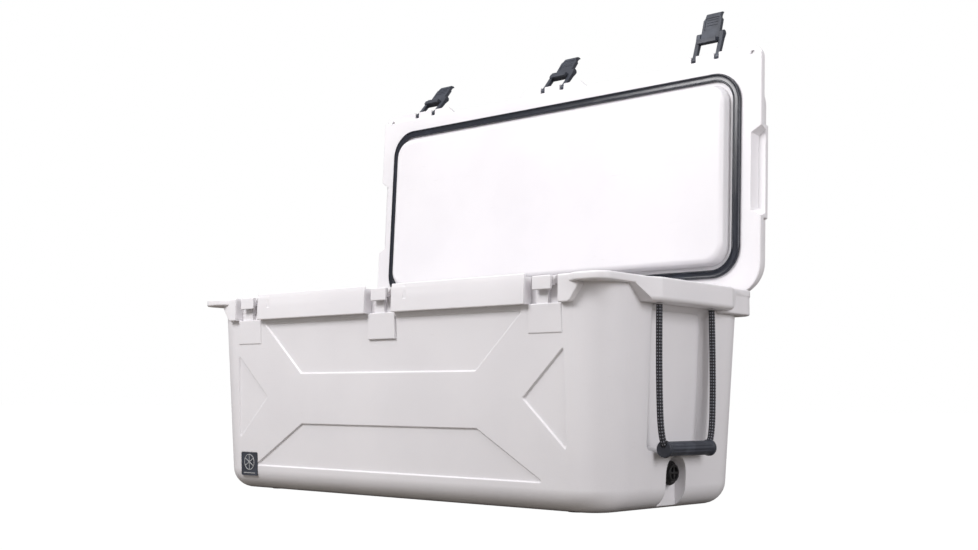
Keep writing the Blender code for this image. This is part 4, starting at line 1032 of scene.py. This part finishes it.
@dataclass
class Lid:
    """The moulded lid with its crown, plug, latch blocks and knuckles, and the gasket under it."""

    sizes: ChestSizes
    palette: Palette
    low: float = 0.4003
    flange: float = 0.014
    height: float = 0.057
    half_x: float = 0.5350
    edge_y: float = -0.2396
    crown_inset: float = 0.009
    crown_draft: float = 0.009
    crown_front: float = 0.030
    crown_radius: float = 0.060
    crown_edge: float = 0.010
    field_inset: float = 0.055
    plug_gap: float = 0.006
    plug_depth: float = 0.025
    plug_lean: float = 0.006
    plug_corner: float = 0.040
    plug_edge: float = 0.009
    notch_half: float = 0.0775
    notch_splay: float = 0.013
    notch_depth: float = 0.022
    notch_height: float = 0.019
    block_half: float = 0.0765
    block_splay: float = 0.022
    block_low: float = 0.4063
    block_thickness: float = 0.012
    pin_y: float = -0.2501
    gasket_width: float = 0.017
    gasket_proud: float = 0.007
    slot_half: float = 0.00595
    bush_bore: float = 0.0058
    port_x: float = 0.200

    @property
    def front_y(self) -> float:
        """The foremost edge, at the corners and the latch blocks."""
        return -self.sizes.rim_y - self.sizes.ear_out

    def plate(self) -> bpy.types.Object:
        """The flange round the lid."""
        s = self.sizes
        points = [(s.latch_pitch - self.block_half - self.block_splay, self.edge_y),
                  (s.latch_pitch - self.block_half, self.front_y)]
        points += arc((self.half_x - s.ear_radius, self.front_y + s.ear_radius), s.ear_radius, -90, 90, 10)
        radius = self.crown_radius
        points += arc((self.half_x - radius, s.rim_y - radius), radius, 0, 90, 14)
        plate = slab("lid_moulding", mirrored(points), self.low, self.low + self.flange)
        return soften(plate, 0.0026, 4, 60)

    def crown(self) -> bpy.types.Object:
        """The raised top with a shallow sunk field."""
        s = self.sizes
        front, back = self.edge_y + self.crown_front, s.rim_y - 0.0006
        half_x, half_y = self.half_x - self.crown_inset, (back - front) / 2
        top = self.low + self.height
        draft = self.crown_draft
        low_z = self.low + 0.004
        body = tapered_box("crown", (half_x, half_y), (half_x - draft, half_y - draft), low_z, top,
                           self.crown_radius, high_edge=self.crown_edge, centre_y=(front + back) / 2)
        sunk_x, sunk_y = half_x - self.field_inset, half_y - self.field_inset
        sunk = tapered_box("field", (sunk_x, sunk_y), (sunk_x + 0.006, sunk_y + 0.006), top - 0.0025,
                           top + 0.0005, 0.030, centre_y=(front + back) / 2)
        return carve(body, sunk)

    def plug(self) -> bpy.types.Object:
        """The part that drops into the tub's mouth, with a broad soft edge."""
        s = self.sizes
        half_x, half_y = s.inside_x - self.plug_gap, s.inside_y - self.plug_gap
        low_half = (half_x - self.plug_lean, half_y - self.plug_lean)
        return tapered_box("plug", low_half, (half_x, half_y), self.low - self.plug_depth, self.low + 0.005,
                           self.plug_corner, low_edge=self.plug_edge)

    def latch_blocks(self) -> Iterator[bpy.types.Object]:
        """The blocks on the front edge that carry the latch pins."""
        wide, back = self.block_half + self.block_splay, self.edge_y + 0.004
        low, high = self.block_low, self.block_low + self.block_thickness
        for x in self.sizes.latches.values():
            points = [(x - wide, back), (x - wide, self.edge_y), (x - self.block_half, self.front_y),
                      (x + self.block_half, self.front_y), (x + wide, self.edge_y), (x + wide, back)]
            yield soften(slab("latch_block", points, low, high), 0.002, 3, 60)

    def knuckles(self) -> Iterator[bpy.types.Object]:
        """The barrels that turn on the hinge rods."""
        s = self.sizes
        radius, half = s.knuckle_radius, s.knuckle_half
        y, z, high = s.hinge.y, s.hinge.z, s.hinge.z + 0.030
        section = [(y - radius, high), *arc((y, z), radius, 180, 180, 16), (y + radius, high)]
        for side in Side:
            x = side.value * s.hinge_x
            yield slab("knuckle", section, x - half, x + half, Axis.X)

    def lips(self) -> Iterator[bpy.types.Object]:
        """The lip over each end's finger notch, by which the lid is lifted."""
        low, high = self.low + self.flange - 0.001, self.low + self.notch_height + 0.016
        half, inner = self.notch_half + self.notch_splay + 0.004, self.half_x - self.notch_depth - 0.012
        for side in Side:
            section = [(inner, low), (self.half_x, low), (self.half_x, high - 0.006),
                       (self.half_x - self.crown_inset, high), (inner, high)]
            outline = [(side.value * x, z) for x, z in section]
            yield soften(slab("lip", outline, -half, half, Axis.Y), 0.003, 3, 40)

    def notches(self) -> Iterator[bpy.types.Object]:
        """The finger notch under each end, with sloping sides."""
        inner, half = self.half_x - self.notch_depth, self.notch_half
        wide, past = half + self.notch_splay, self.half_x + FAR
        high = self.low + self.notch_height
        points = [(inner, -half), (self.half_x + 0.001, -wide), (past, -wide), (past, wide),
                  (self.half_x + 0.001, wide), (inner, half)]
        for side in Side:
            outline = [(side.value * x, y) for x, y in points]
            tight = [(side.value * max(x, inner + 0.006), y * (1 - 0.06)) for x, y in points]
            levels = ((self.low - FAR, outline), (self.low + 0.004, outline), (high, tight))
            yield solid("notch", [[(x, y, z) for x, y in ring] for z, ring in levels])

    def openings(self) -> Iterator[bpy.types.Object]:
        """The slots for the latch arms, and the holes for pins, padlocks, bushes and filling plugs."""
        s = self.sizes
        pin_z = self.block_low + self.block_thickness / 2
        back = self.pin_y + 0.0064
        for x in s.latches.values():
            for hand in (-1, 1):
                centre = x + hand * ARM_CENTRE
                yield block("arm_slot", (centre - self.slot_half, self.front_y - FAR, self.low - 0.02),
                            (centre + self.slot_half, back, self.low + self.height + 0.02))
            yield pipe("pin_hole", (x, self.pin_y, pin_z), s.pin_radius + FIT, -0.0488, 0.0488, Axis.X, 24)
        port_z = self.low + self.flange + (self.height - self.flange - self.crown_edge) / 2
        for side in Side:
            padlock = (side.value * s.padlock.x, s.padlock.y, 0.0)
            yield pipe("padlock_hole", padlock, PADLOCK_RADIUS, self.low - 0.02, self.low + 0.04)
            bush = (side.value * s.hinge_x, s.hinge.y, s.hinge.z)
            yield pipe("bush_bore", bush, self.bush_bore, -0.05, 0.05, Axis.X)
            port = (side.value * self.port_x, s.rim_y, port_z)
            yield pipe("port", port, PORT_RADIUS, -0.0105, 0.02, Axis.Y)
        half = self.gasket_width / 2 - 0.0032
        near, far = GASKET_MIDDLE - half, GASKET_MIDDLE + half
        low, high = self.low - 0.001, self.low + 0.003
        section = ((near, low), (far, low), (far, high), (near, high))
        rings = [rounded_ring(s.inside_x + out, s.inside_y + out, s.inside_corner + out, z)
                 for out, z in section]
        yield hoop("gasket_groove", rings)

    def gasket(self) -> bpy.types.Object:
        """The bulb seal: a root in the lid's groove, two lobes and the thin line between them."""
        s = self.sizes
        root, half, low = self.gasket_width / 2 - 0.0035, self.gasket_width / 2, self.low - self.gasket_proud
        lobe, valley = half * 0.52, low + 0.0028
        section = [(-root, self.low + 0.0027), (-root, self.low - FIT), (-half, self.low - FIT)]
        section += [(-half + lobe / 2 - lobe / 2 * math.cos(t), low + 0.0035 - 0.0035 * math.sin(t))
                    for t in (math.pi * i / 8 for i in range(8))]
        section += [(0.0, valley)]
        section += [(half - lobe / 2 - lobe / 2 * math.cos(t), low + 0.0035 - 0.0035 * math.sin(t))
                    for t in (math.pi * i / 8 for i in range(1, 9))]
        section += [(half, self.low - FIT), (root, self.low - FIT), (root, self.low + 0.0027)]
        half_x, half_y, corner = (size + GASKET_MIDDLE for size in (s.inside_x, s.inside_y, s.inside_corner))
        rings = [rounded_ring(half_x + a, half_y + a, corner + a, z, 14) for a, z in section]
        seal = swing_open(hoop("mouth_gasket", rings), s)
        return dress(seal, self.palette.gasket, "lid", ["lid_gasket"], 50.0)

    def build(self) -> list[bpy.types.Object]:
        """Makes the lid and its gasket."""
        s = self.sizes
        lid = self.plate()
        low = (-s.rim_x - FAR, self.front_y - FAR, self.low - 0.01)
        carve(lid, block("front_trim", low, (s.rim_x + FAR, self.edge_y, self.block_low)))
        fuse(lid, self.crown(), self.plug(), *self.latch_blocks(), *self.knuckles(), *self.lips())
        carve(lid, *self.notches(), *self.openings())
        swing_open(lid, s)
        return [dress(lid, self.palette.shell, "lid", ["lid_shell"]), self.gasket()]


# ------------------------------------------------------------------ latches


@dataclass
class Latch:
    """One over-centre latch: two arms from the lid's block and the lever between them."""

    sizes: ChestSizes
    palette: Palette
    name: str
    arm_length: float = 0.058
    arm_half: float = 0.00475
    eye_radius: float = 0.0052
    end_radius: float = 0.0066
    lever_half: float = 0.02175
    lever_long: float = 0.054
    lever_short: float = 0.0195
    lever_thickness: float = 0.009

    def joint_frame(self, joint: str, extra: float) -> Matrix:
        """The frame of a joint at rest, which leans as the latch does.

        Args:
            joint: The joint whose point is the origin.
            extra: How much more the piece leans than the arms, in degrees.

        Returns:
            The frame, with -Y along the piece.
        """
        places = {j["name"]: Vector(j["pos_m"]) for j in FRAME["joints"] if "pos_m" in j}
        reach = places[f"latch_lever_{self.name}"] - places[f"latch_link_{self.name}"]
        lean = math.atan2(-reach.z, -reach.y) - math.radians(extra)
        return Matrix.Translation(places[joint]) @ Matrix.Rotation(lean, 4, "X")

    def placed(self, obj: bpy.types.Object, frame: Matrix) -> bpy.types.Object:
        """Puts a piece modelled at the origin into a joint's frame, in its mesh."""
        only(obj)
        obj.matrix_world = frame
        bpy.ops.object.transform_apply(location=True, rotation=True, scale=True)
        return obj

    def arm(self, side: Side) -> bpy.types.Object:
        """One arm: round bosses at its ends, a waist between them and a sunk web on its outer face."""
        waist = 0.0012
        end_y = -self.arm_length
        outline = [*arc((0.0, 0.0), self.eye_radius, -90, 180, 14), (-0.010, self.eye_radius - waist),
                   (end_y + 0.012, self.end_radius - waist - 0.0006),
                   *arc((end_y, 0.0), self.end_radius, 90, 180, 14),
                   (end_y + 0.012, -self.end_radius + waist + 0.0006), (-0.010, -self.eye_radius + waist)]
        centre = side.value * ARM_CENTRE
        name = f"latch_side_{self.name}_{side.label}"
        arm = slab(name, outline, centre - self.arm_half, centre + self.arm_half, Axis.X)
        soften(arm, 0.0008, 3, 40)
        outer = centre + side.value * self.arm_half
        web = rounded_corners(rectangle(end_y + 0.011, -0.0026, -0.009, 0.0026), 0.002)
        low, high = sorted((outer - side.value * 0.0010, outer + side.value * 0.004))
        carve(arm, slab("web", web, low, high, Axis.X))
        for y in (0.0, end_y):
            low, high = sorted((outer - side.value * 0.0020, outer + side.value * 0.0005))
            head = turned("pin_head", (0.0, y, 0.0), [(0.0033, low), (0.0033, high)], Axis.X, 24)
            fuse(arm, soften(head, 0.0003, 2, 60))
            bore = self.sizes.pin_radius + FIT
            far = centre - side.value * (self.arm_half + 0.002)
            low, high = sorted((far, outer - side.value * 0.0018))
            carve(arm, pipe("pin_way", (0.0, y, 0.0), bore, low, high, Axis.X, 24))
        return arm

    def lever(self) -> bpy.types.Object:
        """The lever: a hook at its short end, a curled tip at its long end and a framed sunk face."""
        half, long, short = self.lever_thickness / 2, self.lever_long, self.lever_short
        nib, under, hook_out = short + 0.005, -0.0105, -0.0155
        hook = [(short - 0.004, half), (short - 0.0012, half - 0.0012), (short, half - 0.004),
                (short, under), (nib, under), (nib, hook_out + 0.001), (nib - 0.002, hook_out),
                (short - 0.005, hook_out), (short - 0.0085, -half - 0.0006), (short - 0.0105, -half)]
        curl = [(-long + 0.010, -half), (-long + 0.003, -half + 0.0016), (-long - 0.0005, -half + 0.0055),
                (-long - 0.003, half + 0.002), (-long - 0.0005, half + 0.003),
                (-long + 0.002, half + 0.0012), (-long + 0.007, half)]
        lever = slab(f"latch_plate_{self.name}", hook + curl, -self.lever_half, self.lever_half, Axis.X)
        tip, past = self.lever_half - 0.004, self.lever_half + 0.01
        corner = ((tip, -long - 0.02), (past, -long - 0.02), (past, -long + 0.018),
                  (self.lever_half, -long + 0.018), (tip, -long + 0.012))
        for hand in (-1, 1):
            carve(lever, slab("corner", [(hand * x, y) for x, y in corner], -0.03, 0.03))
        wide, rib_reach, rib_half = self.lever_half - 0.0055, self.lever_half - 0.009, 0.0009
        window = rounded_corners(rectangle(-wide, -long + 0.013, wide, -0.010), 0.003)
        for face in (-1, 1):
            low, high = sorted((face * (half - 0.0014), face * (half + 0.004)))
            sunk = slab("field", window, low, high)
            for rib in (-1, 0, 1):
                y = -long * 0.55 + rib * 0.0065
                low, high = sorted((face * (half - 0.004), face * (half - 0.0003)))
                bar = block("rib", (-rib_reach, y - rib_half, low), (rib_reach, y + rib_half, high))
                carve(sunk, soften(bar, 0.0005, 2))
            carve(lever, sunk)
        soften(lever, 0.0007, 2, 35)
        carve(lever, pipe("pin_way", (0.0, 0.0, 0.0), self.sizes.pin_radius + FIT, -FAR, FAR, Axis.X, 24))
        return lever

    def build(self) -> list[bpy.types.Object]:
        """Makes the two arms and the lever."""
        made = []
        for side in Side:
            arm = self.placed(self.arm(side), self.joint_frame(f"latch_link_{self.name}", 0.0))
            made.append(dress(arm, self.palette.slate, f"link_{self.name}",
                              [f"latch_arm_{self.name}_{side.label}"], 40.0))
        lever = self.placed(self.lever(), self.joint_frame(f"latch_lever_{self.name}", -4.0))
        made.append(dress(lever, self.palette.slate, f"lever_{self.name}",
                          [f"latch_lever_{self.name}"], 40.0))
        return made


# ------------------------------------------------------------------ rope handles


@dataclass
class RopeHandle:
    """A rope through a bracket, knotted above it, with a grip on its lowest stretch."""

    sizes: ChestSizes
    palette: Palette
    side: Side
    radius: float = 0.00575
    bracket_z: float = 0.357
    grip_z: float = 0.107
    grip_half: float = 0.075
    grip_radius: float = 0.0128
    flare: float = 0.0022
    strands: int = 8
    pitch: float = 0.043
    relief: float = 0.0007
    around: int = 48
    route: Outline = ((-0.0850, -0.0026), (-0.0862, -0.055), (-0.0866, -0.110), (-0.0856, -0.165),
                      (-0.0822, -0.212), (-0.0730, -0.2405), (-0.0520, -0.2500), (-0.0200, -0.2500))

    def path(self, per_step: int) -> list[Vector]:
        """Points along the smooth curve through the route and its mirror image."""
        half = [Vector((0.0, y, z)) for y, z in self.route]
        whole = half + [Vector((0.0, -p.y, p.z)) for p in reversed(half)]
        padded = [whole[0] * 2 - whole[1], *whole, whole[-1] * 2 - whole[-2]]
        centre = Vector((self.side.value * ROPE_X, 0.0, self.bracket_z))
        points = []
        for a, b, c, d in zip(padded, padded[1:], padded[2:], padded[3:]):
            for i in range(per_step):
                t = i / per_step
                points.append(centre + 0.5 * (2 * b + (c - a) * t + (2 * a - 5 * b + 4 * c - d) * t * t
                                              + (3 * b - a - 3 * c + d) * t ** 3))
        return [*points, centre + whole[-1]]

    def evenly(self, points: Sequence[Vector], spacing: float) -> list[Vector]:
        """The same line with its points a spacing apart."""
        lengths = [0.0]
        for a, b in zip(points, points[1:]):
            lengths.append(lengths[-1] + (b - a).length)
        count = max(2, round(lengths[-1] / spacing))
        made, k = [], 0
        for i in range(count + 1):
            target = lengths[-1] * i / count
            while k < len(lengths) - 2 and lengths[k + 1] < target:
                k += 1
            share = (target - lengths[k]) / (lengths[k + 1] - lengths[k])
            made.append(points[k].lerp(points[k + 1], share))
        return made

    def weave(self, around: float, along: float) -> float:
        """How high the braid stands at a place on it, from 0 to 1."""
        right = self.strands * (along + around)
        left = self.strands * (along - around)
        over = (math.floor(right) + math.floor(left)) % 2 == 0
        crest = math.sin(math.pi * (right % 1.0)), math.sin(math.pi * (left % 1.0))
        top, under = crest if over else crest[::-1]
        return top ** 0.6 * (0.75 + 0.25 * under)

    def braid(self, name: str, points: Sequence[Vector], radii: Sequence[float]) -> bpy.types.Object:
        """A braided tube along a line, with a UV map whose U runs round it and V along it.

        Args:
            name: Its name.
            points: Its centreline.
            radii: Its greatest radius at each point.

        Returns:
            The closed tube.
        """
        vertices, faces, coordinates = [], [], []
        travelled, count = 0.0, self.around
        for i, (point, radius) in enumerate(zip(points, radii)):
            tangent = (points[min(i + 1, len(points) - 1)] - points[max(i - 1, 0)]).normalized()
            across = Vector((1.0, 0.0, 0.0))
            up = tangent.cross(across).normalized()
            across = up.cross(tangent)
            travelled += (point - points[i - 1]).length if i else 0.0
            for j in range(count):
                turn = math.tau * j / count
                lift = radius - self.relief * (1 - self.weave(j / count, travelled / self.pitch))
                vertices.append(point + (across * math.cos(turn) + up * math.sin(turn)) * lift)
            if i:
                for j in range(count):
                    k, base = (j + 1) % count, (i - 1) * count
                    faces.append((base + j, base + k, base + count + k, base + count + j))
                    before = (travelled - (point - points[i - 1]).length) / self.pitch
                    after = travelled / self.pitch
                    here, there = j / count, (j + 1) / count
                    coordinates.append([(here, before), (there, before), (there, after), (here, after)])
        for ring, rows in ((0, range(count - 1, -1, -1)), (len(points) - 1, range(count))):
            vertices.append(points[ring])
            tip = len(vertices) - 1
            order = list(rows)
            for a, b in zip(order, order[1:] + order[:1]):
                faces.append((ring * count + a, ring * count + b, tip))
                coordinates.append([(a / count, 0.0), (b / count, 0.0), (a / count, 0.1)])
        mesh = bpy.data.meshes.new(name)
        mesh.from_pydata(vertices, [], faces)
        layer = mesh.uv_layers.new(name="UVMap")
        flat = [value for corner_set in coordinates for pair in corner_set for value in pair]
        layer.data.foreach_set("uv", flat)
        obj = bpy.data.objects.new(name, mesh)
        bpy.context.scene.collection.objects.link(obj)
        return outwards(obj)

    def rope(self) -> bpy.types.Object:
        """The rope, as a braided tube."""
        path = self.path(12)
        points = self.evenly(path, 0.0010)
        rope = self.braid(f"rope_{self.side.label}", points, [self.radius] * len(points))
        dress(rope, self.palette.rope, f"handle_{self.side.label}",
              [f"handle_rope_{self.side.label}"], 180.0)
        length = sum((b - a).length for a, b in zip(path, path[1:]))
        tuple(path[0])
        return rope

    def knots(self) -> list[bpy.types.Object]:
        """The stopper on each end of the rope, sunk in the top of the bracket."""
        made = []
        low, high = self.bracket_z + 0.0006, self.bracket_z + 0.0407
        profile = [(0.0, 0.0003), (self.radius, 0.0), (self.radius, 0.68), (0.0088, 0.715), (0.0104, 0.80),
                   (0.0104, 0.90), (0.0088, 0.965), (0.0045, 1.0)]
        steps, last = 44, len(profile) - 1
        for depth, hand in (("front", -1), ("rear", 1)):
            label = f"{depth}_{self.side.label}"
            points, radii = [], []
            for i in range(steps + 1):
                share = i / steps
                outer = next(k for k in range(1, last + 1) if profile[k][1] >= share or k == last)
                (r0, s0), (r1, s1) = profile[outer - 1], profile[outer]
                mix = 1.0 if s1 == s0 else max(0.0, min(1.0, (share - s0) / (s1 - s0)))
                radii.append(self.radius if i == 0 else r0 + (r1 - r0) * mix)
                z = low + (high - 0.0014 - low) * share
                points.append(Vector((self.side.value * ROPE_X, hand * ROPE_Y, z)))
            knot = self.braid(f"knot_{label}", points, radii)
            made.append(dress(knot, self.palette.rope, "root", [f"rope_knot_{label}"], 180.0))
        return made

    def grip(self) -> bpy.types.Object:
        """The grip: finger lobes round it, flared collars and a way through it for the rope."""
        half, radius, flare = self.grip_half, self.grip_radius, self.grip_radius + self.flare
        profile = [(flare - 0.0022, -half), (flare - 0.0007, -half + 0.0007), (flare, -half + 0.0022),
                   (flare, -half + 0.0055), (flare - 0.0006, -half + 0.0072),
                   (radius + 0.0006, -half + 0.0095), (radius, -half + 0.012)]
        profile += [(radius, -half + 0.012 + (half - 0.012) * i / 6) for i in range(1, 6)]
        profile += [(r, -at) for r, at in reversed(profile)]
        sides, lobes, depth = 96, 12, 0.0011
        rings = []
        for r, at in profile:
            ring = []
            share = min(1.0, max(0.0, (half - 0.010 - abs(at)) / 0.004))
            for j in range(sides):
                turn = math.tau * j / sides
                groove = depth * share * (0.5 - 0.5 * math.cos(turn * lobes)) ** 2
                ring.append((self.side.value * ROPE_X + (r - groove) * math.cos(turn), at,
                             self.grip_z + (r - groove) * math.sin(turn)))
            rings.append(ring)
        grip = solid(f"grip_{self.side.label}", rings)
        points = self.evenly(self.path(8), 0.006)
        way = []
        for i, point in enumerate(points):
            tangent = (points[min(i + 1, len(points) - 1)] - points[max(i - 1, 0)]).normalized()
            up = tangent.cross(Vector((1.0, 0.0, 0.0))).normalized()
            way.append([point + (Vector((1.0, 0.0, 0.0)) * a + up * b) * (self.radius + 0.0011)
                        for a, b in arc((0.0, 0.0), 1.0, 0, 345, 23)])
        carve(grip, solid("rope_way", way))
        return dress(grip, self.palette.slate, f"handle_{self.side.label}",
                     [f"handle_grip_{self.side.label}"], 40.0)

    def build(self) -> list[bpy.types.Object]:
        """Makes the handle's rope, grip and knots."""
        return [self.rope(), self.grip(), *self.knots()]


# ------------------------------------------------------------------ drain and badge


@dataclass
class DrainCap:
    """The drain's screw cap: finger flutes round it and a cross of ribs on its face."""

    palette: Palette
    flutes: int = 12
    flute_radius: float = 0.0026

    def build(self) -> bpy.types.Object:
        """Makes the cap."""
        low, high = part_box("drain_cap")
        radius, middle = (high.z - low.z) / 2, (low.z + high.z) / 2
        start, depth = low.x, high.x - low.x
        centre = (0.0, 0.0, middle)
        profile = [(radius - 0.001, start), (radius, start + 0.001), (radius, start + depth * 0.42),
                   (radius - 0.0012, start + depth * 0.52), (radius - 0.0045, start + depth * 0.58),
                   (radius - 0.0055, start + depth * 0.62), (radius - 0.0068, start + depth * 0.97),
                   (radius - 0.0078, high.x - 0.0004)]
        cap = turned("cap_fluted", centre, profile, Axis.X, 96)
        for i in range(self.flutes):
            turn = math.tau * (i + 0.5) / self.flutes
            place = (0.0, math.cos(turn) * (radius + 0.0008), middle + math.sin(turn) * (radius + 0.0008))
            carve(cap, pipe("flute", place, self.flute_radius, start + 0.0022, high.x + 0.01, Axis.X, 20))
        bowl = [(radius - 0.0112, high.x - 0.0050), (radius - 0.0098, high.x + 0.002)]
        dish = turned("dish", centre, bowl, Axis.X, 64)
        inner = radius - 0.0095
        for half_y, half_z in ((inner, 0.0017), (0.0017, inner)):
            inner_end = (high.x - 0.02, -half_y, middle - half_z)
            bar = block("bar", inner_end, (high.x - 0.0007, half_y, middle + half_z))
            carve(dish, soften(bar, 0.0006, 2))
        carve(cap, dish)
        carve(cap, pipe("socket", centre, DRAIN_RADIUS, start - 0.01, 0.4990, Axis.X, 40))
        soften(cap, 0.00035, 2, 40)
        return dress(cap, self.palette.black, "drain_cap", ["drain_cap"], 40.0)


@dataclass
class Badge:
    """The plate low on the front, with a plain emblem of three crossed bars in a ring."""

    sizes: ChestSizes
    palette: Palette
    ring: float = 0.0165
    line: float = 0.0013

    def stood(self, obj: bpy.types.Object, low: Point, high: Point) -> bpy.types.Object:
        """Leans a piece that was modelled upright so that it lies on the sloping wall."""
        only(obj)
        middle = Vector(((low[0] + high[0]) / 2, 0.0, (low[2] + high[2]) / 2))
        middle.y = -self.sizes.wall_y(middle.z)
        lean = math.atan(self.sizes.draft)
        obj.matrix_world = Matrix.Translation(middle) @ Matrix.Rotation(lean, 4, "X")
        bpy.ops.object.transform_apply(location=True, rotation=True, scale=True)
        return obj

    def build(self) -> list[bpy.types.Object]:
        """Makes the plate and the emblem."""
        low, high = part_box("badge_plate")
        half_x, half_z = (high.x - low.x) / 2, (high.z - low.z) / 2
        face = -0.0009
        outline = rounded_corners(rectangle(-half_x, -half_z, half_x, half_z), 0.003)
        plate = slab("badge_face", outline, face, 0.0004, Axis.Y)
        rim = drawn_in(outline, 0.0016)
        carve(plate, slab("sunk", rim, face - 0.01, face + 0.0003, Axis.Y))
        self.stood(plate, low, high)
        centre, back, front = (0.0, 0.0, 0.004), face - 0.0002, face + 0.0006
        reach, half_line, bore = self.ring - 0.0005, self.line / 2, self.ring - self.line
        emblem = turned("badge_emblem", centre, [(self.ring, back), (self.ring, front)], Axis.Y, 64)
        carve(emblem, pipe("hole", centre, bore, -0.01, 0.01, Axis.Y, 64))
        for i in range(3):
            bar = block("bar", (-reach, back, -half_line), (reach, front, half_line))
            only(bar)
            turn = Matrix.Rotation(math.pi / 3 * i + math.pi / 2, 4, "Y")
            bar.matrix_world = Matrix.Translation(centre) @ turn
            bpy.ops.object.transform_apply(location=True, rotation=True, scale=True)
            fuse(emblem, bar)
        wide = half_x - 0.008
        fuse(emblem, block("underline", (-wide, back, -half_z + 0.0045), (wide, front, -half_z + 0.0060)))
        self.stood(emblem, low, high)
        return [dress(plate, self.palette.slate, "root", ["badge_plate"]),
                dress(emblem, self.palette.emblem, "root")]


# ------------------------------------------------------------------ studio


@dataclass
class Studio:
    """The camera, the floor, the lights and the world."""

    place: Point = (1.7422, -1.9012, 0.1829)
    yaw: float = 41.39
    pitch: float = 5.80
    roll: float = -0.51
    lens: float = 46.37
    ambient: float = 0.40

    def camera(self) -> None:
        """Adds the camera."""
        data = bpy.data.cameras.new("Camera")
        data.lens = self.lens
        data.sensor_width = 36.0
        data.clip_end = 100.0
        camera = bpy.data.objects.new("Camera", data)
        bpy.context.scene.collection.objects.link(camera)
        yaw, pitch, roll = (math.radians(angle) for angle in (self.yaw, 90 + self.pitch, -self.roll))
        turn = Matrix.Rotation(yaw, 4, "Z") @ Matrix.Rotation(pitch, 4, "X")
        camera.matrix_world = Matrix.Translation(self.place) @ turn @ Matrix.Rotation(roll, 4, "Z")
        bpy.context.scene.camera = camera

    def floor(self) -> None:
        """Adds the pale floor."""
        bpy.ops.object.select_all(action="DESELECT")
        bpy.ops.mesh.primitive_plane_add(size=60.0, location=(0.0, 0.0, FLOOR_Z))
        floor = started("floor")
        floor.data.materials.append(self.floor_finish())

    def floor_finish(self) -> bpy.types.Material:
        """A matt pale floor, so brightly lit that only soft contact shadows show on it."""
        graph = Graph("studio_floor")
        tint = graph.blend((0.17, 0.155, 0.135), (0.20, 0.185, 0.165), graph.noise(0.6, 2.0))
        matt = graph.node("BsdfDiffuse", Color=tint)
        glow = graph.node("Emission", Color=(1.0, 1.0, 1.0, 1.0), Strength=1.10)
        seen = graph.value("LightPath", output="Is Camera Ray")
        mix = graph.node("MixShader", Fac=seen * 0.92)
        graph.tree.links.new(matt.outputs[0], mix.inputs[1])
        graph.tree.links.new(glow.outputs[0], mix.inputs[2])
        output = graph.node("OutputMaterial")
        graph.tree.links.new(mix.outputs[0], output.inputs[0])
        return graph.material

    def light(self, name: str, place: Point, size: tuple[float, float], power: float, colour: Colour) -> None:
        """Adds a softbox that faces the middle of the chest."""
        data = bpy.data.lights.new(name, "AREA")
        data.shape = "RECTANGLE"
        data.size, data.size_y = size
        data.energy = power
        data.color = colour
        light = bpy.data.objects.new(name, data)
        bpy.context.scene.collection.objects.link(light)
        light.location = place
        aim = Vector((0.0, 0.0, 0.35)) - Vector(place)
        light.rotation_mode = "QUATERNION"
        light.rotation_quaternion = aim.to_track_quat("-Z", "Y")

    def world(self) -> None:
        """Makes the world white behind the chest, and dimmer where it only lights it."""
        world = bpy.data.worlds.new("studio")
        world.use_nodes = True
        nodes, links = world.node_tree.nodes, world.node_tree.links
        lit = nodes["Background"]
        lit.inputs["Color"].default_value = (1.0, 0.99, 1.0, 1.0)
        lit.inputs["Strength"].default_value = self.ambient
        white = nodes.new("ShaderNodeBackground")
        white.inputs["Color"].default_value = (1.0, 1.0, 1.0, 1.0)
        path, mix = nodes.new("ShaderNodeLightPath"), nodes.new("ShaderNodeMixShader")
        links.new(path.outputs["Is Camera Ray"], mix.inputs[0])
        links.new(lit.outputs[0], mix.inputs[1])
        links.new(white.outputs[0], mix.inputs[2])
        links.new(mix.outputs[0], nodes["World Output"].inputs[0])
        bpy.context.scene.world = world

    def build(self) -> None:
        """Sets the studio up."""
        bpy.context.scene.view_settings.view_transform = "Standard"
        self.camera()
        self.floor()
        self.world()
        self.light("key", (-0.6, -2.0, 2.0), (1.4, 1.0), 58.0, (1.0, 0.985, 0.995))
        self.light("top", (0.2, -0.6, 3.0), (2.2, 1.4), 24.0, (1.0, 1.0, 1.0))
        self.light("side", (3.2, -0.5, 1.3), (1.6, 1.6), 46.0, (0.99, 0.975, 1.0))


def finish_kept_nodes(frame: dict, palette: Palette) -> None:
    """Gives the CAD nodes that stay in view their finishes."""
    finishes = {"foot": palette.rubber, "drain_seal": palette.rubber, "drain": palette.black,
                "hinge_rod": palette.steel, "hinge_bush": palette.nylon, "latch_pin": palette.steel,
                "lever_pin": palette.steel, "tub_foam": palette.foam, "lid_foam": palette.foam,
                "tub_fill": palette.shell, "lid_fill": palette.shell}
    for name, node in frame["nodes"].items():
        if node.hide_render:
            continue
        material = next(finish for start, finish in finishes.items() if name.startswith(start))
        node.data.materials.clear()
        node.data.materials.append(material)
        LOG.info("%s keeps its form in %s", name, material.name)


def main() -> None:
    """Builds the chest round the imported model, and the studio."""
    logging.basicConfig(level=logging.INFO, format="%(message)s")
    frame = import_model()
    FRAME.update(frame)
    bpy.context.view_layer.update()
    sizes, palette = ChestSizes(), Palette()
    Studio().build()
    for side in Side:
        RopeHandle(sizes, palette, side).build()
    Tub(sizes, palette).build()
    Lid(sizes, palette).build()
    for name in sizes.latches:
        Latch(sizes, palette, name).build()
    DrainCap(palette).build()
    Badge(sizes, palette).build()
    finish_kept_nodes(frame, palette)


if __name__ == "__main__":
    main()
